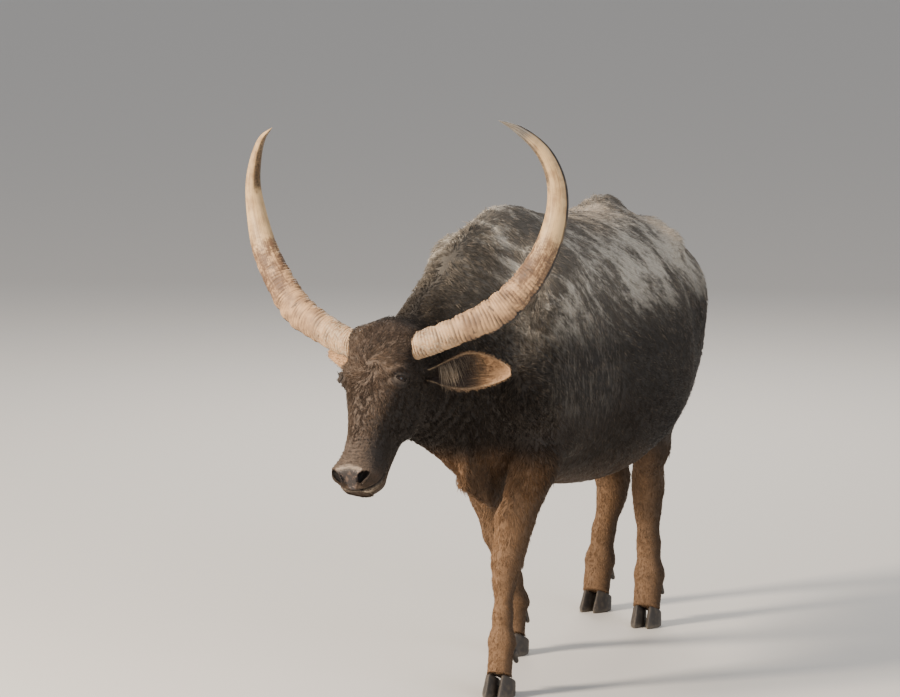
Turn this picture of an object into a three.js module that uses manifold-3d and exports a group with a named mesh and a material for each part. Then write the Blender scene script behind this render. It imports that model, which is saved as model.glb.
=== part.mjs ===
// A life-size water buffalo cow with long crescent horns, standing with its head lowered.
// Millimetres, +Z up. The animal faces -Y and its left side is +X. While it is built, the
// origin lies on the floor under the withers. At the end it moves to the middle of the box.
//
// The flesh is one implicit body: a trunk and a head given by stations along their length,
// with rounded bars and ellipsoids for muscles and bones blended in. Each node takes its own
// mesh of that body, at its own cell size, and thin plane cuts part the nodes.

import * as THREE from 'three';
import { mergeVertices } from 'three/addons/utils/BufferGeometryUtils.js';
import Module from 'manifold-3d';

const wasm = await Module();
wasm.setup();

const GAP = 0.3;
const SAME_PLACE = 0.011;
const RELAX_ROUNDS = 4;

// Trunk stations: place along the body, back line, belly line, half width, height of the
// widest point, sideways bend, and how square the section is above and below the widest point.
const TRUNK = [
  { at: -660, top: 1290, low: 1010, half: 95, mid: 1140, side: -176, crown: 2.0, keel: 2.0 },
  { at: -560, top: 1345, low: 925, half: 128, mid: 1130, side: -156, crown: 2.0, keel: 1.9 },
  { at: -450, top: 1445, low: 868, half: 152, mid: 1130, side: -126, crown: 1.8, keel: 1.8 },
  { at: -340, top: 1560, low: 800, half: 182, mid: 1120, side: -88, crown: 1.7, keel: 1.8 },
  { at: -200, top: 1645, low: 705, half: 238, mid: 1090, side: -42, crown: 1.6, keel: 1.8 },
  { at: -60, top: 1686, low: 685, half: 290, mid: 1090, side: -8, crown: 1.6, keel: 1.9 },
  { at: 200, top: 1636, low: 660, half: 372, mid: 1070, side: 0, crown: 1.9, keel: 2.1 },
  { at: 480, top: 1594, low: 612, half: 432, mid: 1040, side: 0, crown: 2.0, keel: 2.1 },
  { at: 740, top: 1584, low: 636, half: 428, mid: 1050, side: 0, crown: 1.9, keel: 2.1 },
  { at: 930, top: 1596, low: 735, half: 352, mid: 1120, side: 0, crown: 1.8, keel: 2.0 },
  { at: 1080, top: 1538, low: 850, half: 285, mid: 1160, side: 0, crown: 1.8, keel: 1.9 },
  { at: 1230, top: 1490, low: 1000, half: 205, mid: 1210, side: 0, crown: 1.9, keel: 1.9 },
  { at: 1330, top: 1400, low: 1100, half: 100, mid: 1240, side: 0, crown: 2.0, keel: 2.0 },
];

// Head stations, in the head's own frame: distance down the face from the poll, height of
// the face line and of the jaw line on the axis square to the face, and half width.
const HEAD = [
  { at: -70, top: -20, low: -130, half: 70, mid: -70, side: 0, crown: 2.0, keel: 2.0 },
  { at: -10, top: 36, low: -180, half: 112, mid: -40, side: 0, crown: 2.4, keel: 1.8 },
  { at: 80, top: 66, low: -225, half: 122, mid: -20, side: 0, crown: 2.6, keel: 1.7 },
  { at: 180, top: 62, low: -245, half: 114, mid: -15, side: 0, crown: 2.5, keel: 1.7 },
  { at: 265, top: 54, low: -232, half: 96, mid: -35, side: 0, crown: 2.3, keel: 1.7 },
  { at: 345, top: 50, low: -200, half: 76, mid: -45, side: 0, crown: 2.2, keel: 1.8 },
  { at: 430, top: 46, low: -168, half: 70, mid: -40, side: 0, crown: 2.2, keel: 1.9 },
  { at: 495, top: 52, low: -138, half: 82, mid: -25, side: 0, crown: 2.3, keel: 2.0 },
  { at: 538, top: 38, low: -112, half: 82, mid: -35, side: 0, crown: 2.2, keel: 2.0 },
  { at: 572, top: -2, low: -86, half: 56, mid: -44, side: 0, crown: 2.0, keel: 2.0 },
];
const POLL = new THREE.Vector3(-184, -700, 1300);
const FACE_SLOPE = 63;
const HEAD_YAW = 10;
const HEAD_ROLL = 3.5;

// Bones and muscles blended into the head, in the head's own frame. A pair is on both sides.
const HEAD_FORMS = [
  { name: 'brow', pair: true, centre: [84, 176, 6], radii: [42, 46, 40], blend: 34 },
  { name: 'cheek', pair: true, centre: [66, 250, -130], radii: [30, 86, 78], blend: 40 },
  { name: 'horn root', pair: true, from: [60, 24, -24], to: [104, 20, -18], thick: [54, 47], blend: 40 },
  { name: 'ear root', pair: true, from: [74, 90, -112], to: [108, 92, -130], thick: [42, 34], blend: 44 },
  { name: 'nostril wing', pair: true, centre: [48, 516, 14], radii: [33, 36, 28], blend: 22 },
  { name: 'chin', pair: false, centre: [0, 522, -98], radii: [48, 36, 30], blend: 30 },
];

// Bones and muscles blended into the trunk. A squeezed bar is narrower from side to side.
const TRUNK_FORMS = [
  { name: 'shoulder blade', pair: true, centre: [196, -70, 1270], radii: [98, 170, 300], blend: 110 },
  { name: 'upper arm', pair: true, centre: [232, 30, 1010], radii: [86, 150, 170], blend: 90 },
  { name: 'rump', pair: true, centre: [176, 1080, 1130], radii: [136, 200, 300], blend: 120 },
  { name: 'hook', pair: true, from: [150, 1030, 1470], to: [238, 985, 1440], thick: [60, 56], blend: 60 },
  { name: 'pin', pair: true, from: [80, 1200, 1390], to: [104, 1268, 1350], thick: [70, 58], blend: 60 },
  { name: 'sacral hump', pair: false, from: [0, 896, 1576], to: [0, 968, 1570], thick: [44, 44], blend: 54 },
  {
    name: 'brisket',
    pair: false,
    from: [-24, -330, 770],
    to: [-4, -170, 690],
    thick: [70, 66],
    squeeze: 0.5,
    blend: 70,
  },
  { name: 'rear thigh', pair: true, centre: [172, 1140, 960], radii: [104, 126, 230], blend: 80 },
  { name: 'udder', pair: false, from: [0, 930, 790], to: [0, 1030, 800], thick: [95, 80], blend: 70 },
];
const LEG_ROOT = { squeeze: 0.75, blend: 90 };
const NECK_BLEND = 50;
const HEAD_REACH = -300;
const LEG_BLEND = 26;

// Leg joints down to the hoof: place, front-to-back half thickness and sideways share of it.
const LEGS = {
  front_left: {
    root: { a: [186, -262, 1060], b: [205, -90, 925], ra: 112, rb: 112 },
    joints: [
      [200, -90, 940, 100, 0.8],
      [176, -190, 800, 92, 0.86],
      [136, -290, 610, 70, 0.92],
      [122, -330, 465, 66, 0.88],
      [120, -352, 400, 50, 0.88],
      [120, -368, 280, 42, 0.92],
      [120, -376, 185, 53, 0.98],
      [120, -392, 120, 43, 1.05],
      [120, -402, 66, 50, 1.15],
    ],
    toe: 2,
  },
  front_right: {
    root: { a: [-196, -250, 1060], b: [-205, -20, 925], ra: 112, rb: 112 },
    joints: [
      [-205, -20, 940, 100, 0.8],
      [-184, 60, 790, 90, 0.86],
      [-140, 146, 620, 70, 0.92],
      [-122, 224, 465, 66, 0.88],
      [-118, 252, 400, 50, 0.88],
      [-116, 306, 280, 42, 0.92],
      [-116, 340, 185, 53, 0.98],
      [-116, 340, 120, 43, 1.05],
      [-116, 330, 66, 50, 1.15],
    ],
    toe: -3,
  },
  hind_left: {
    root: { a: [185, 1080, 1200], b: [205, 900, 880], ra: 190, rb: 135 },
    joints: [
      [205, 900, 860, 130, 0.8],
      [168, 1000, 690, 92, 0.72],
      [124, 1092, 560, 72, 0.66],
      [118, 1112, 500, 72, 0.72],
      [122, 1098, 430, 56, 0.8],
      [134, 1076, 300, 45, 0.86],
      [144, 1058, 185, 54, 0.96],
      [146, 1036, 120, 43, 1.05],
      [146, 1022, 66, 49, 1.12],
    ],
    toe: 5,
  },
  hind_right: {
    root: { a: [-185, 1100, 1200], b: [-200, 1000, 880], ra: 190, rb: 135 },
    joints: [
      [-200, 1010, 860, 130, 0.8],
      [-156, 1160, 690, 96, 0.74],
      [-102, 1276, 560, 76, 0.7],
      [-92, 1306, 500, 76, 0.76],
      [-98, 1304, 430, 60, 0.84],
      [-122, 1286, 300, 45, 0.86],
      [-134, 1278, 185, 54, 0.96],
      [-137, 1258, 120, 43, 1.05],
      [-138, 1246, 66, 49, 1.12],
    ],
    toe: -5,
  },
};
const LEG_SPLIT = 4;
const LEG_SIDES = 12;
const LEG_RINGS = 20;
const HOOF_TOP = 66;
const HOOF_SLOPE = 24;
const HOOF_LENGTH = 128;
const HOOF_WIDTH = 60;
const HOOF_CLEFT = 5;
const DEWCLAW = { high: 150, back: 52, apart: 27, length: 46, radius: 15 };

// Horns: a crescent in the head's upright frame, back and up from the poll, with its distance
// out and the half width of its face on each side of the head.
const HORN_PATH = [
  { back: 0, up: -45, left: 70, right: 75, leftWide: 50, rightWide: 52 },
  { back: 4, up: -38, left: 135, right: 144, leftWide: 49, rightWide: 52 },
  { back: 42, up: 8, left: 268, right: 280, leftWide: 48, rightWide: 54 },
  { back: 98, up: 70, left: 400, right: 422, leftWide: 59, rightWide: 62 },
  { back: 146, up: 168, left: 494, right: 525, leftWide: 53, rightWide: 55 },
  { back: 176, up: 280, left: 560, right: 599, leftWide: 45, rightWide: 48 },
  { back: 194, up: 402, left: 595, right: 637, leftWide: 39, rightWide: 36 },
  { back: 186, up: 508, left: 601, right: 640, leftWide: 34, rightWide: 27 },
  { back: 152, up: 606, left: 578, right: 599, leftWide: 27, rightWide: 20 },
  { back: 100, up: 684, left: 521, right: 531, leftWide: 17, rightWide: 12 },
  { back: 60, up: 724, left: 461, right: 461, leftWide: 0.6, rightWide: 0.6 },
];
const HORN_THICK = 42;
const HORN_TAPER = { power: 2.2, fullness: 0.8 };
const HORN_RISE = { left: 1, right: 0.975 };
const HORN_RINGS = 30;
const HORN_SIDES = 10;
const HORN_SPLIT = 0.52;
const RIDGE_DEPTH = 0.03;

const EYE = { down: 178, radius: 21, sunk: 11, look: [0.88, -0.04, 0.46] };

const LID = { gap: 3, thick: 7, span: 78 };
const NOSTRIL = { side: 54, down: 530, out: 34, deep: 44, wide: 21, high: 10, rim: 8, steps: 6 };
const MOUTH = { down: 462, out: -66, turn: 100, deep: 9, high: 2.2, lip: 11 };

const FRINGE = { count: 6, from: 0.27, to: 0.56, length: 96, width: 27, thick: 5, sag: 12 };
const EAR = { side: 100, back: 70, drop: -146, length: 330, width: 67, wall: 9, steps: 10 };
const EAR_WAYS = {
  left: { outwards: [1, 0.14, 0.05], facing: [0.1, -1, -0.16] },
  right: { outwards: [-0.82, 0.57, 0.09], facing: [-0.57, -0.82, -0.12] },
};

const TAIL_PATH = [
  [0, 1235, 1455],
  [4, 1330, 1440],
  [10, 1392, 1330],
  [16, 1410, 1160],
  [24, 1412, 960],
  [32, 1404, 780],
  [36, 1398, 690],
];
const TAIL_ROOT = 42;
const TAIL_END = 17;
const SWITCH_LENGTH = 250;
const SWITCH_LOCKS = 12;

const HIDE = { color: 0x35302d, roughness: 0.85, metalness: 0 };
const LEG_HIDE = { color: 0x7a5f48, roughness: 0.85, metalness: 0 };
const HORN = { color: 0xb7a082, roughness: 0.6, metalness: 0 };
const HOOF = { color: 0x2e2824, roughness: 0.55, metalness: 0 };
const EYEBALL = { color: 0x120d0a, roughness: 0.1, metalness: 0 };
const EAR_HIDE = { color: 0x6b5242, roughness: 0.85, metalness: 0 };
const TAIL_HAIR = { color: 0x1d1917, roughness: 0.8, metalness: 0 };

// Seeded random numbers from 0 to 1.
function seededRandom(seed) {
  let state = seed;
  return () => {
    state = (state + 0x6d2b79f5) | 0;
    let mixed = Math.imul(state ^ (state >>> 15), 1 | state);
    mixed = (mixed + Math.imul(mixed ^ (mixed >>> 7), 61 | mixed)) ^ mixed;
    return ((mixed ^ (mixed >>> 14)) >>> 0) / 4294967296;
  };
}

const clamp = THREE.MathUtils.clamp;
const lerp = THREE.MathUtils.lerp;
const radians = THREE.MathUtils.degToRad;
const vector = (values) => new THREE.Vector3(...values);

// A smooth curve through one column of a station table.
function column(table, key) {
  const last = table.length - 1;
  const slope = (i) => {
    const before = table[Math.max(i - 1, 0)];
    const after = table[Math.min(i + 1, last)];
    return (after[key] - before[key]) / (after.at - before.at);
  };
  return (at) => {
    if (at <= table[0].at) {
      return table[0][key];
    }
    if (at >= table[last].at) {
      return table[last][key];
    }
    let i = 0;
    while (table[i + 1].at < at) {
      i += 1;
    }
    const span = table[i + 1].at - table[i].at;
    const t = (at - table[i].at) / span;
    const s = 1 - t;
    return table[i][key] * (1 + 2 * t) * s * s + slope(i) * span * t * s * s
      + table[i + 1][key] * (3 - 2 * t) * t * t - slope(i + 1) * span * t * t * s;
  };
}

// The distance to a body given by stations, from a point (across, along, up).
function stationField(table) {
  const keys = ['top', 'low', 'half', 'mid', 'side', 'crown', 'keel'];
  const curves = keys.map((key) => column(table, key));
  const first = table[0].at;
  const final = table[table.length - 1].at;
  return (across, along, up) => {
    const [top, low, half, mid, side, crown, keel] = curves.map((curve) => curve(along));
    const out = Math.abs(across - side);
    const rise = up - mid;
    const reach = rise > 0 ? top - mid : mid - low;
    const power = rise > 0 ? crown : keel;
    const share = ((out / half) ** power + (Math.abs(rise) / reach) ** power) ** (1 / power);
    const radial = Math.hypot(out, rise);
    const inside = radial < 1 ? -Math.min(half, reach) : radial - radial / share;
    const beyond = Math.max(first - along, along - final, 0);
    return beyond > 0 ? Math.hypot(Math.max(inside, 0), beyond) : inside;
  };
}

function smoothUnion(a, b, blend) {
  const overlap = Math.max(blend - Math.abs(a - b), 0) / blend;
  return Math.min(a, b) - overlap * overlap * blend * 0.25;
}

// A tapered bar with round ends, squeezed sideways by flat.
function bar(p, a, b, ra, rb, flat = 1) {
  const px = (p.x - a[0]) / flat;
  const py = p.y - a[1];
  const pz = p.z - a[2];
  const bx = (b[0] - a[0]) / flat;
  const by = b[1] - a[1];
  const bz = b[2] - a[2];
  const t = clamp((px * bx + py * by + pz * bz) / (bx * bx + by * by + bz * bz), 0, 1);
  const reach = Math.hypot(px - bx * t, py - by * t, pz - bz * t);
  return (reach - lerp(ra, rb, t)) * Math.min(1, flat);
}

function ellipsoid(p, centre, radii) {
  const x = (p.x - centre[0]) / radii[0];
  const y = (p.y - centre[1]) / radii[1];
  const z = (p.z - centre[2]) / radii[2];
  const near = Math.hypot(x, y, z);
  const steep = Math.hypot(x / radii[0], y / radii[1], z / radii[2]);
  return steep < 1e-9 ? -Math.min(...radii) : near * (near - 1) / steep;
}

const trunkField = stationField(TRUNK);
const skullField = stationField(HEAD);

// The head's frame: across to its left, down the face, and out from the face.
const headTurn = new THREE.Matrix4().makeRotationZ(radians(-HEAD_YAW))
  .multiply(new THREE.Matrix4().makeRotationY(radians(-HEAD_ROLL)));
const slope = radians(FACE_SLOPE);
const headAcross = new THREE.Vector3(1, 0, 0).transformDirection(headTurn);
const headDown = new THREE.Vector3(0, -Math.cos(slope), -Math.sin(slope))
  .transformDirection(headTurn);
const headOut = new THREE.Vector3(0, -Math.sin(slope), Math.cos(slope))
  .transformDirection(headTurn);

function toHead(p) {
  const from = p.clone().sub(POLL);
  return new THREE.Vector3(from.dot(headAcross), from.dot(headDown), from.dot(headOut));
}

function fromHead(across, down, out) {
  return POLL.clone().addScaledVector(headAcross, across)
    .addScaledVector(headDown, down).addScaledVector(headOut, out);
}

// A place in the head's upright frame: across, back and up from the poll.
function besideHead(across, back, up) {
  return new THREE.Vector3(across, back, up).applyMatrix4(headTurn).add(POLL);
}

// The body with a list of forms blended in. The near one of a pair is on the point's own side.
function withForms(start, p, forms) {
  const folded = new THREE.Vector3(Math.abs(p.x), p.y, p.z);
  return forms.reduce((d, form) => {
    const at = form.pair ? folded : p;
    const piece = form.centre
      ? ellipsoid(at, form.centre, form.radii)
      : bar(at, form.from, form.to, ...form.thick, form.squeeze);
    return smoothUnion(d, piece, form.blend);
  }, start);
}

function headField(p) {
  const h = toHead(p);
  return withForms(skullField(h.x, h.y, h.z), h, HEAD_FORMS);
}

function trunkWithRoots(p) {
  let d = withForms(trunkField(p.x, p.y, p.z), p, TRUNK_FORMS);
  for (const leg of Object.values(LEGS)) {
    const { a, b, ra, rb } = leg.root;
    d = smoothUnion(d, bar(p, a, b, ra, rb, LEG_ROOT.squeeze), LEG_ROOT.blend);
  }
  return d;
}

function bodyField(p) {
  const trunk = trunkWithRoots(p);
  return p.y > HEAD_REACH ? trunk : smoothUnion(trunk, headField(p), NECK_BLEND);
}

function legField(leg) {
  return (p) => {
    let d = Infinity;
    for (let i = 0; i + 1 < leg.joints.length; i += 1) {
      const [ax, ay, az, ar, aflat] = leg.joints[i];
      const [bx, by, bz, br, bflat] = leg.joints[i + 1];
      const piece = bar(p, [ax, ay, az], [bx, by, bz], ar, br, (aflat + bflat) / 2);
      d = i === 0 ? piece : smoothUnion(d, piece, LEG_BLEND);
    }
    return d;
  };
}

function gradient(field, p) {
  const probe = p.clone();
  const slopeAlong = (axis) => {
    probe.copy(p);
    probe[axis] += 1;
    const ahead = field(probe);
    probe[axis] -= 2;
    return (ahead - field(probe)) / 2;
  };
  return new THREE.Vector3(slopeAlong('x'), slopeAlong('y'), slopeAlong('z'));
}

// Moves a point onto the surface in two steps along the slope of the field.
function settle(field, p) {
  const gentlest = 0.05;
  for (let i = 0; i < 2; i += 1) {
    const lean = gradient(field, p);
    p.addScaledVector(lean, -field(p) / Math.max(lean.lengthSq(), gentlest));
  }
}

function makeGeometry(points, triangles) {
  const geometry = new THREE.BufferGeometry();
  const flat = points.flatMap((p) => [p.x, p.y, p.z]);
  geometry.setAttribute('position', new THREE.Float32BufferAttribute(flat, 3));
  geometry.setIndex(triangles);
  return geometry;
}

// The closed surface where the field is zero: one point in each cell that it crosses, joined
// across each grid edge that it crosses, then evened out and settled back on the surface.
function polygonise(field, low, high, cell) {
  const count = [0, 1, 2].map((k) => Math.ceil((high[k] - low[k]) / cell[k]) + 1);
  const [nx, ny, nz] = count;
  const values = new Float64Array(nx * ny * nz);
  const id = (i, j, k) => (k * ny + j) * nx + i;
  const place = (i, j, k) => vector([low[0] + i * cell[0], low[1] + j * cell[1], low[2] + k * cell[2]]);
  for (let k = 0; k < nz; k += 1) {
    for (let j = 0; j < ny; j += 1) {
      for (let i = 0; i < nx; i += 1) {
        values[id(i, j, k)] = field(place(i, j, k));
      }
    }
  }
  const points = [];
  const pointOf = new Int32Array(nx * ny * nz).fill(-1);
  const corners = [0, 1, 2, 3, 4, 5, 6, 7].map((n) => [n & 1, (n >> 1) & 1, (n >> 2) & 1]);
  const edges = [];
  for (let n = 0; n < 8; n += 1) {
    for (const bit of [1, 2, 4]) {
      if ((n & bit) === 0) {
        edges.push([n, n | bit]);
      }
    }
  }
  for (let k = 0; k + 1 < nz; k += 1) {
    for (let j = 0; j + 1 < ny; j += 1) {
      for (let i = 0; i + 1 < nx; i += 1) {
        const around = corners.map(([a, b, c]) => values[id(i + a, j + b, k + c)]);
        const middle = new THREE.Vector3();
        let crossings = 0;
        for (const [from, to] of edges) {
          if ((around[from] < 0) !== (around[to] < 0)) {
            const t = around[from] / (around[from] - around[to]);
            const [a, b, c] = corners[from].map((start, n) => lerp(start, corners[to][n], t));
            middle.add(place(i + a, j + b, k + c));
            crossings += 1;
          }
        }
        if (crossings > 0) {
          pointOf[id(i, j, k)] = points.length;
          points.push(middle.divideScalar(crossings));
        }
      }
    }
  }
  const quads = [];
  const turns = [
    [[1, 0, 0], [0, 1, 0], [0, 0, 1]],
    [[0, 1, 0], [0, 0, 1], [1, 0, 0]],
    [[0, 0, 1], [1, 0, 0], [0, 1, 0]],
  ];
  for (let k = 1; k + 1 < nz; k += 1) {
    for (let j = 1; j + 1 < ny; j += 1) {
      for (let i = 1; i + 1 < nx; i += 1) {
        for (const [axis, u, v] of turns) {
          const here = values[id(i, j, k)] < 0;
          const there = values[id(i + axis[0], j + axis[1], k + axis[2])] < 0;
          if (here !== there) {
            const back = (m, n) => pointOf[id(
              i - m * u[0] - n * v[0],
              j - m * u[1] - n * v[1],
              k - m * u[2] - n * v[2],
            )];
            const ring = [back(0, 0), back(1, 0), back(1, 1), back(0, 1)];
            quads.push(here ? ring : ring.reverse());
          }
        }
      }
    }
  }
  const neighbours = points.map(() => new Set());
  for (const ring of quads) {
    ring.forEach((n, turn) => {
      neighbours[n].add(ring[(turn + 1) % 4]);
      neighbours[n].add(ring[(turn + 3) % 4]);
    });
  }
  for (let round = 0; round < RELAX_ROUNDS; round += 1) {
    const means = neighbours.map((near) => {
      const mean = new THREE.Vector3();
      near.forEach((n) => mean.add(points[n]));
      return mean.divideScalar(near.size);
    });
    points.forEach((p, n) => settle(field, p.lerp(means[n], 0.5)));
  }
  const triangles = [];
  for (const [a, b, c, d] of quads) {
    const straight = points[a].distanceTo(points[c]) < points[b].distanceTo(points[d]);
    triangles.push(...(straight ? [a, b, c, a, c, d] : [b, c, d, b, d, a]));
  }
  return makeGeometry(points, triangles);
}

// A closed skin over rings of points, with a fan at each end.
function loft(rings) {
  const sides = rings[0].length;
  const points = rings.flat();
  const triangles = [];
  for (let r = 0; r + 1 < rings.length; r += 1) {
    for (let s = 0; s < sides; s += 1) {
      const a = r * sides + s;
      const b = r * sides + (s + 1) % sides;
      triangles.push(a, b, b + sides, a, b + sides, a + sides);
    }
  }
  [[0, -1], [rings.length - 1, 1]].forEach(([r, turn]) => {
    const middle = new THREE.Vector3();
    rings[r].forEach((p) => middle.add(p));
    points.push(middle.divideScalar(sides));
    for (let s = 0; s < sides; s += 1) {
      const a = r * sides + s;
      const b = r * sides + (s + 1) % sides;
      triangles.push(...(turn > 0 ? [a, b, points.length - 1] : [b, a, points.length - 1]));
    }
  });
  return outward(makeGeometry(points, triangles));
}

function signedVolume(geometry) {
  const { array } = geometry.getAttribute('position');
  const index = geometry.getIndex().array;
  const corner = (n) => new THREE.Vector3().fromArray(array, index[n] * 3);
  let volume = 0;
  for (let n = 0; n < index.length; n += 3) {
    volume += corner(n).dot(corner(n + 1).cross(corner(n + 2))) / 6;
  }
  return volume;
}

// Turns the faces round where the loft ran the other way.
function outward(geometry) {
  if (signedVolume(geometry) < 0) {
    geometry.setIndex([...geometry.getIndex().array].reverse());
  }
  return geometry;
}

function toSolid(geometry) {
  const bare = geometry.clone();
  bare.deleteAttribute('normal');
  bare.deleteAttribute('uv');
  const merged = mergeVertices(bare, 1e-4);
  return new wasm.Manifold(new wasm.Mesh({
    numProp: 3,
    vertProperties: new Float32Array(merged.getAttribute('position').array),
    triVerts: new Uint32Array(merged.getIndex().array),
  }));
}

// The largest body of a solid as a mesh. Points almost at one place become one point, and the
// slivers between them go.
function fromSolid(solid) {
  const bodies = solid.decompose();
  bodies.sort((a, b) => b.volume() - a.volume());
  const mesh = bodies[0].getMesh();
  const raw = new THREE.BufferGeometry();
  const places = Float32Array.from(mesh.vertProperties);
  raw.setAttribute('position', new THREE.BufferAttribute(places, 3));
  raw.setIndex([...mesh.triVerts]);
  const geometry = mergeVertices(raw, SAME_PLACE);
  const index = geometry.getIndex().array;
  const kept = [];
  for (let n = 0; n < index.length; n += 3) {
    const [a, b, c] = index.slice(n, n + 3);
    if (a !== b && b !== c && c !== a) {
      kept.push(a, b, c);
    }
  }
  geometry.setIndex(kept);
  return geometry;
}

// The half of space that the normal points to, as a block whose face passes the point.
function halfSpace(point, normal, back = 0) {
  const size = 6000;
  const block = new THREE.BoxGeometry(size, size, size);
  const facing = normal.clone().normalize();
  block.translate(0, 0, size / 2);
  block.applyQuaternion(new THREE.Quaternion().setFromUnitVectors(new THREE.Vector3(0, 0, 1), facing));
  const at = point.clone().addScaledVector(facing, back);
  block.translate(at.x, at.y, at.z);
  return toSolid(block);
}

// The same skin, grown outward by an even amount.
function grown(geometry, amount) {
  const bigger = geometry.clone();
  bigger.computeVertexNormals();
  const place = bigger.getAttribute('position');
  const normal = bigger.getAttribute('normal');
  for (let n = 0; n < place.count; n += 1) {
    place.setXYZ(
      n,
      place.getX(n) + normal.getX(n) * amount,
      place.getY(n) + normal.getY(n) * amount,
      place.getZ(n) + normal.getZ(n) * amount,
    );
  }
  return bigger;
}

// Frames along a curve: rings of points square to it, from a half size in two directions.
function ringsAlong(curve, steps, sides, size, up) {
  const rings = [];
  for (let n = 0; n <= steps; n += 1) {
    const t = n / steps;
    const at = curve.getPoint(t);
    const along = curve.getTangent(t);
    const side = new THREE.Vector3().crossVectors(along, up).normalize();
    const rise = new THREE.Vector3().crossVectors(side, along).normalize();
    const [wide, high] = size(t);
    const ring = [];
    for (let s = 0; s < sides; s += 1) {
      const angle = (s / sides) * 2 * Math.PI;
      ring.push(at.clone().addScaledVector(side, wide * Math.cos(angle))
        .addScaledVector(rise, high * Math.sin(angle)));
    }
    rings.push(ring);
  }
  return rings;
}

// Where a ray from inside the field leaves it.
function surfaceAt(field, from, direction, far) {
  let near = 0;
  let out = far;
  for (let n = 0; n < 26; n += 1) {
    const middle = (near + out) / 2;
    if (field(from.clone().addScaledVector(direction, middle)) < 0) {
      near = middle;
    } else {
      out = middle;
    }
  }
  return from.clone().addScaledVector(direction, near);
}

const model = new THREE.Group();

function addNode(name, geometry, finish) {
  geometry.computeVertexNormals();
  const mesh = new THREE.Mesh(geometry, new THREE.MeshStandardMaterial(finish));
  mesh.name = name;
  model.add(mesh);
}

// Grid cells of the three large meshes.
const TORSO_CELL = [64, 72, 62];
const NECK_CELL = [48, 48, 48];
const HEAD_CELL = [25.3, 25.3, 25.3];

// Plane cuts behind the head and in front of the shoulders.
const HEAD_CUT = { point: vector([-150, -545, 1110]), normal: vector([0, 0.966, 0.258]) };
const NECK_CUT = { point: vector([0, -340, 1250]), normal: vector([0, -0.97, 0.24]) };

function beyondPlane(field, plane, side, margin) {
  const normal = plane.normal.clone().normalize();
  return (p) => {
    const past = (p.clone().sub(plane.point).dot(normal)) * side;
    return Math.max(field(p), past - margin);
  };
}

const torsoGeometry = polygonise(
  beyondPlane(bodyField, NECK_CUT, 1, 70),
  [-560, -620, 540],
  [560, 1420, 1780],
  TORSO_CELL,
);
const torsoSolid = toSolid(torsoGeometry)
  .subtract(halfSpace(NECK_CUT.point, NECK_CUT.normal, -GAP / 2));

const neckField = beyondPlane(beyondPlane(bodyField, HEAD_CUT, -1, 60), NECK_CUT, -1, 60);
const neckSolid = toSolid(polygonise(neckField, [-480, -760, 560], [460, 60, 1780], NECK_CELL))
  .intersect(halfSpace(NECK_CUT.point, NECK_CUT.normal, GAP / 2))
  .intersect(halfSpace(HEAD_CUT.point, HEAD_CUT.normal, GAP / 2));

const headGeometry = polygonise(
  beyondPlane(bodyField, HEAD_CUT, 1, 30),
  [-380, -1060, 700],
  [40, -400, 1430],
  HEAD_CELL,
);
const headGrown = toSolid(grown(headGeometry, GAP));
let headSolid = toSolid(headGeometry)
  .subtract(halfSpace(HEAD_CUT.point, HEAD_CUT.normal, -GAP / 2));

function addHorns() {
  [['left', 1], ['right', -1]].forEach(([name, side]) => {
    const path = new THREE.CatmullRomCurve3(
      HORN_PATH.map((stop) => besideHead(side * stop[name], stop.back, stop.up * HORN_RISE[name])),
    );
    const widths = HORN_PATH.map((stop) => stop[`${name}Wide`]);
    const size = (t) => {
      const ridge = t < HORN_SPLIT ? 1 + RIDGE_DEPTH * Math.cos(t * HORN_RINGS * Math.PI) : 1;
      const taper = Math.max(1 - t ** HORN_TAPER.power, 0.004) ** HORN_TAPER.fullness;
      const stop = Math.min(Math.floor(t * (widths.length - 1)), widths.length - 2);
      const wide = lerp(widths[stop], widths[stop + 1], t * (widths.length - 1) - stop);
      return [wide * ridge, HORN_THICK * taper * ridge];
    };
    const rings = ringsAlong(path, HORN_RINGS, HORN_SIDES, size, new THREE.Vector3(0, 1, 0));
    const whole = toSolid(loft(rings)).subtract(headGrown);
    const middle = path.getPoint(HORN_SPLIT);
    const along = path.getTangent(HORN_SPLIT);
    const base = whole.subtract(halfSpace(middle, along, -GAP / 2));
    const tip = whole.intersect(halfSpace(middle, along, GAP / 2));
    addNode(`horn_${name}_base`, fromSolid(base), HORN);
    addNode(`horn_${name}_tip`, fromSolid(tip), HORN);
  });
}

// A lid: a thickened arc over the eyeball, from one corner of the eye to the other.
function lidGeometry(centre, look, rise) {
  const along = new THREE.Vector3().crossVectors(look, rise).normalize();
  const points = [];
  for (let n = 0; n <= 6; n += 1) {
    const angle = radians(lerp(-LID.span, LID.span, n / 6));
    points.push(centre.clone()
      .addScaledVector(along, (EYE.radius + LID.gap) * Math.sin(angle))
      .addScaledVector(rise, (EYE.radius - LID.gap) * Math.cos(angle) * 0.72)
      .addScaledVector(look, EYE.radius * (0.34 + 0.3 * Math.cos(angle))));
  }
  const size = (t) => {
    const share = lerp(0.55, 1, Math.sin(Math.PI * t));
    return [LID.thick * share, LID.thick * share];
  };
  return loft(ringsAlong(new THREE.CatmullRomCurve3(points), 7, 6, size, look));
}

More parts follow.
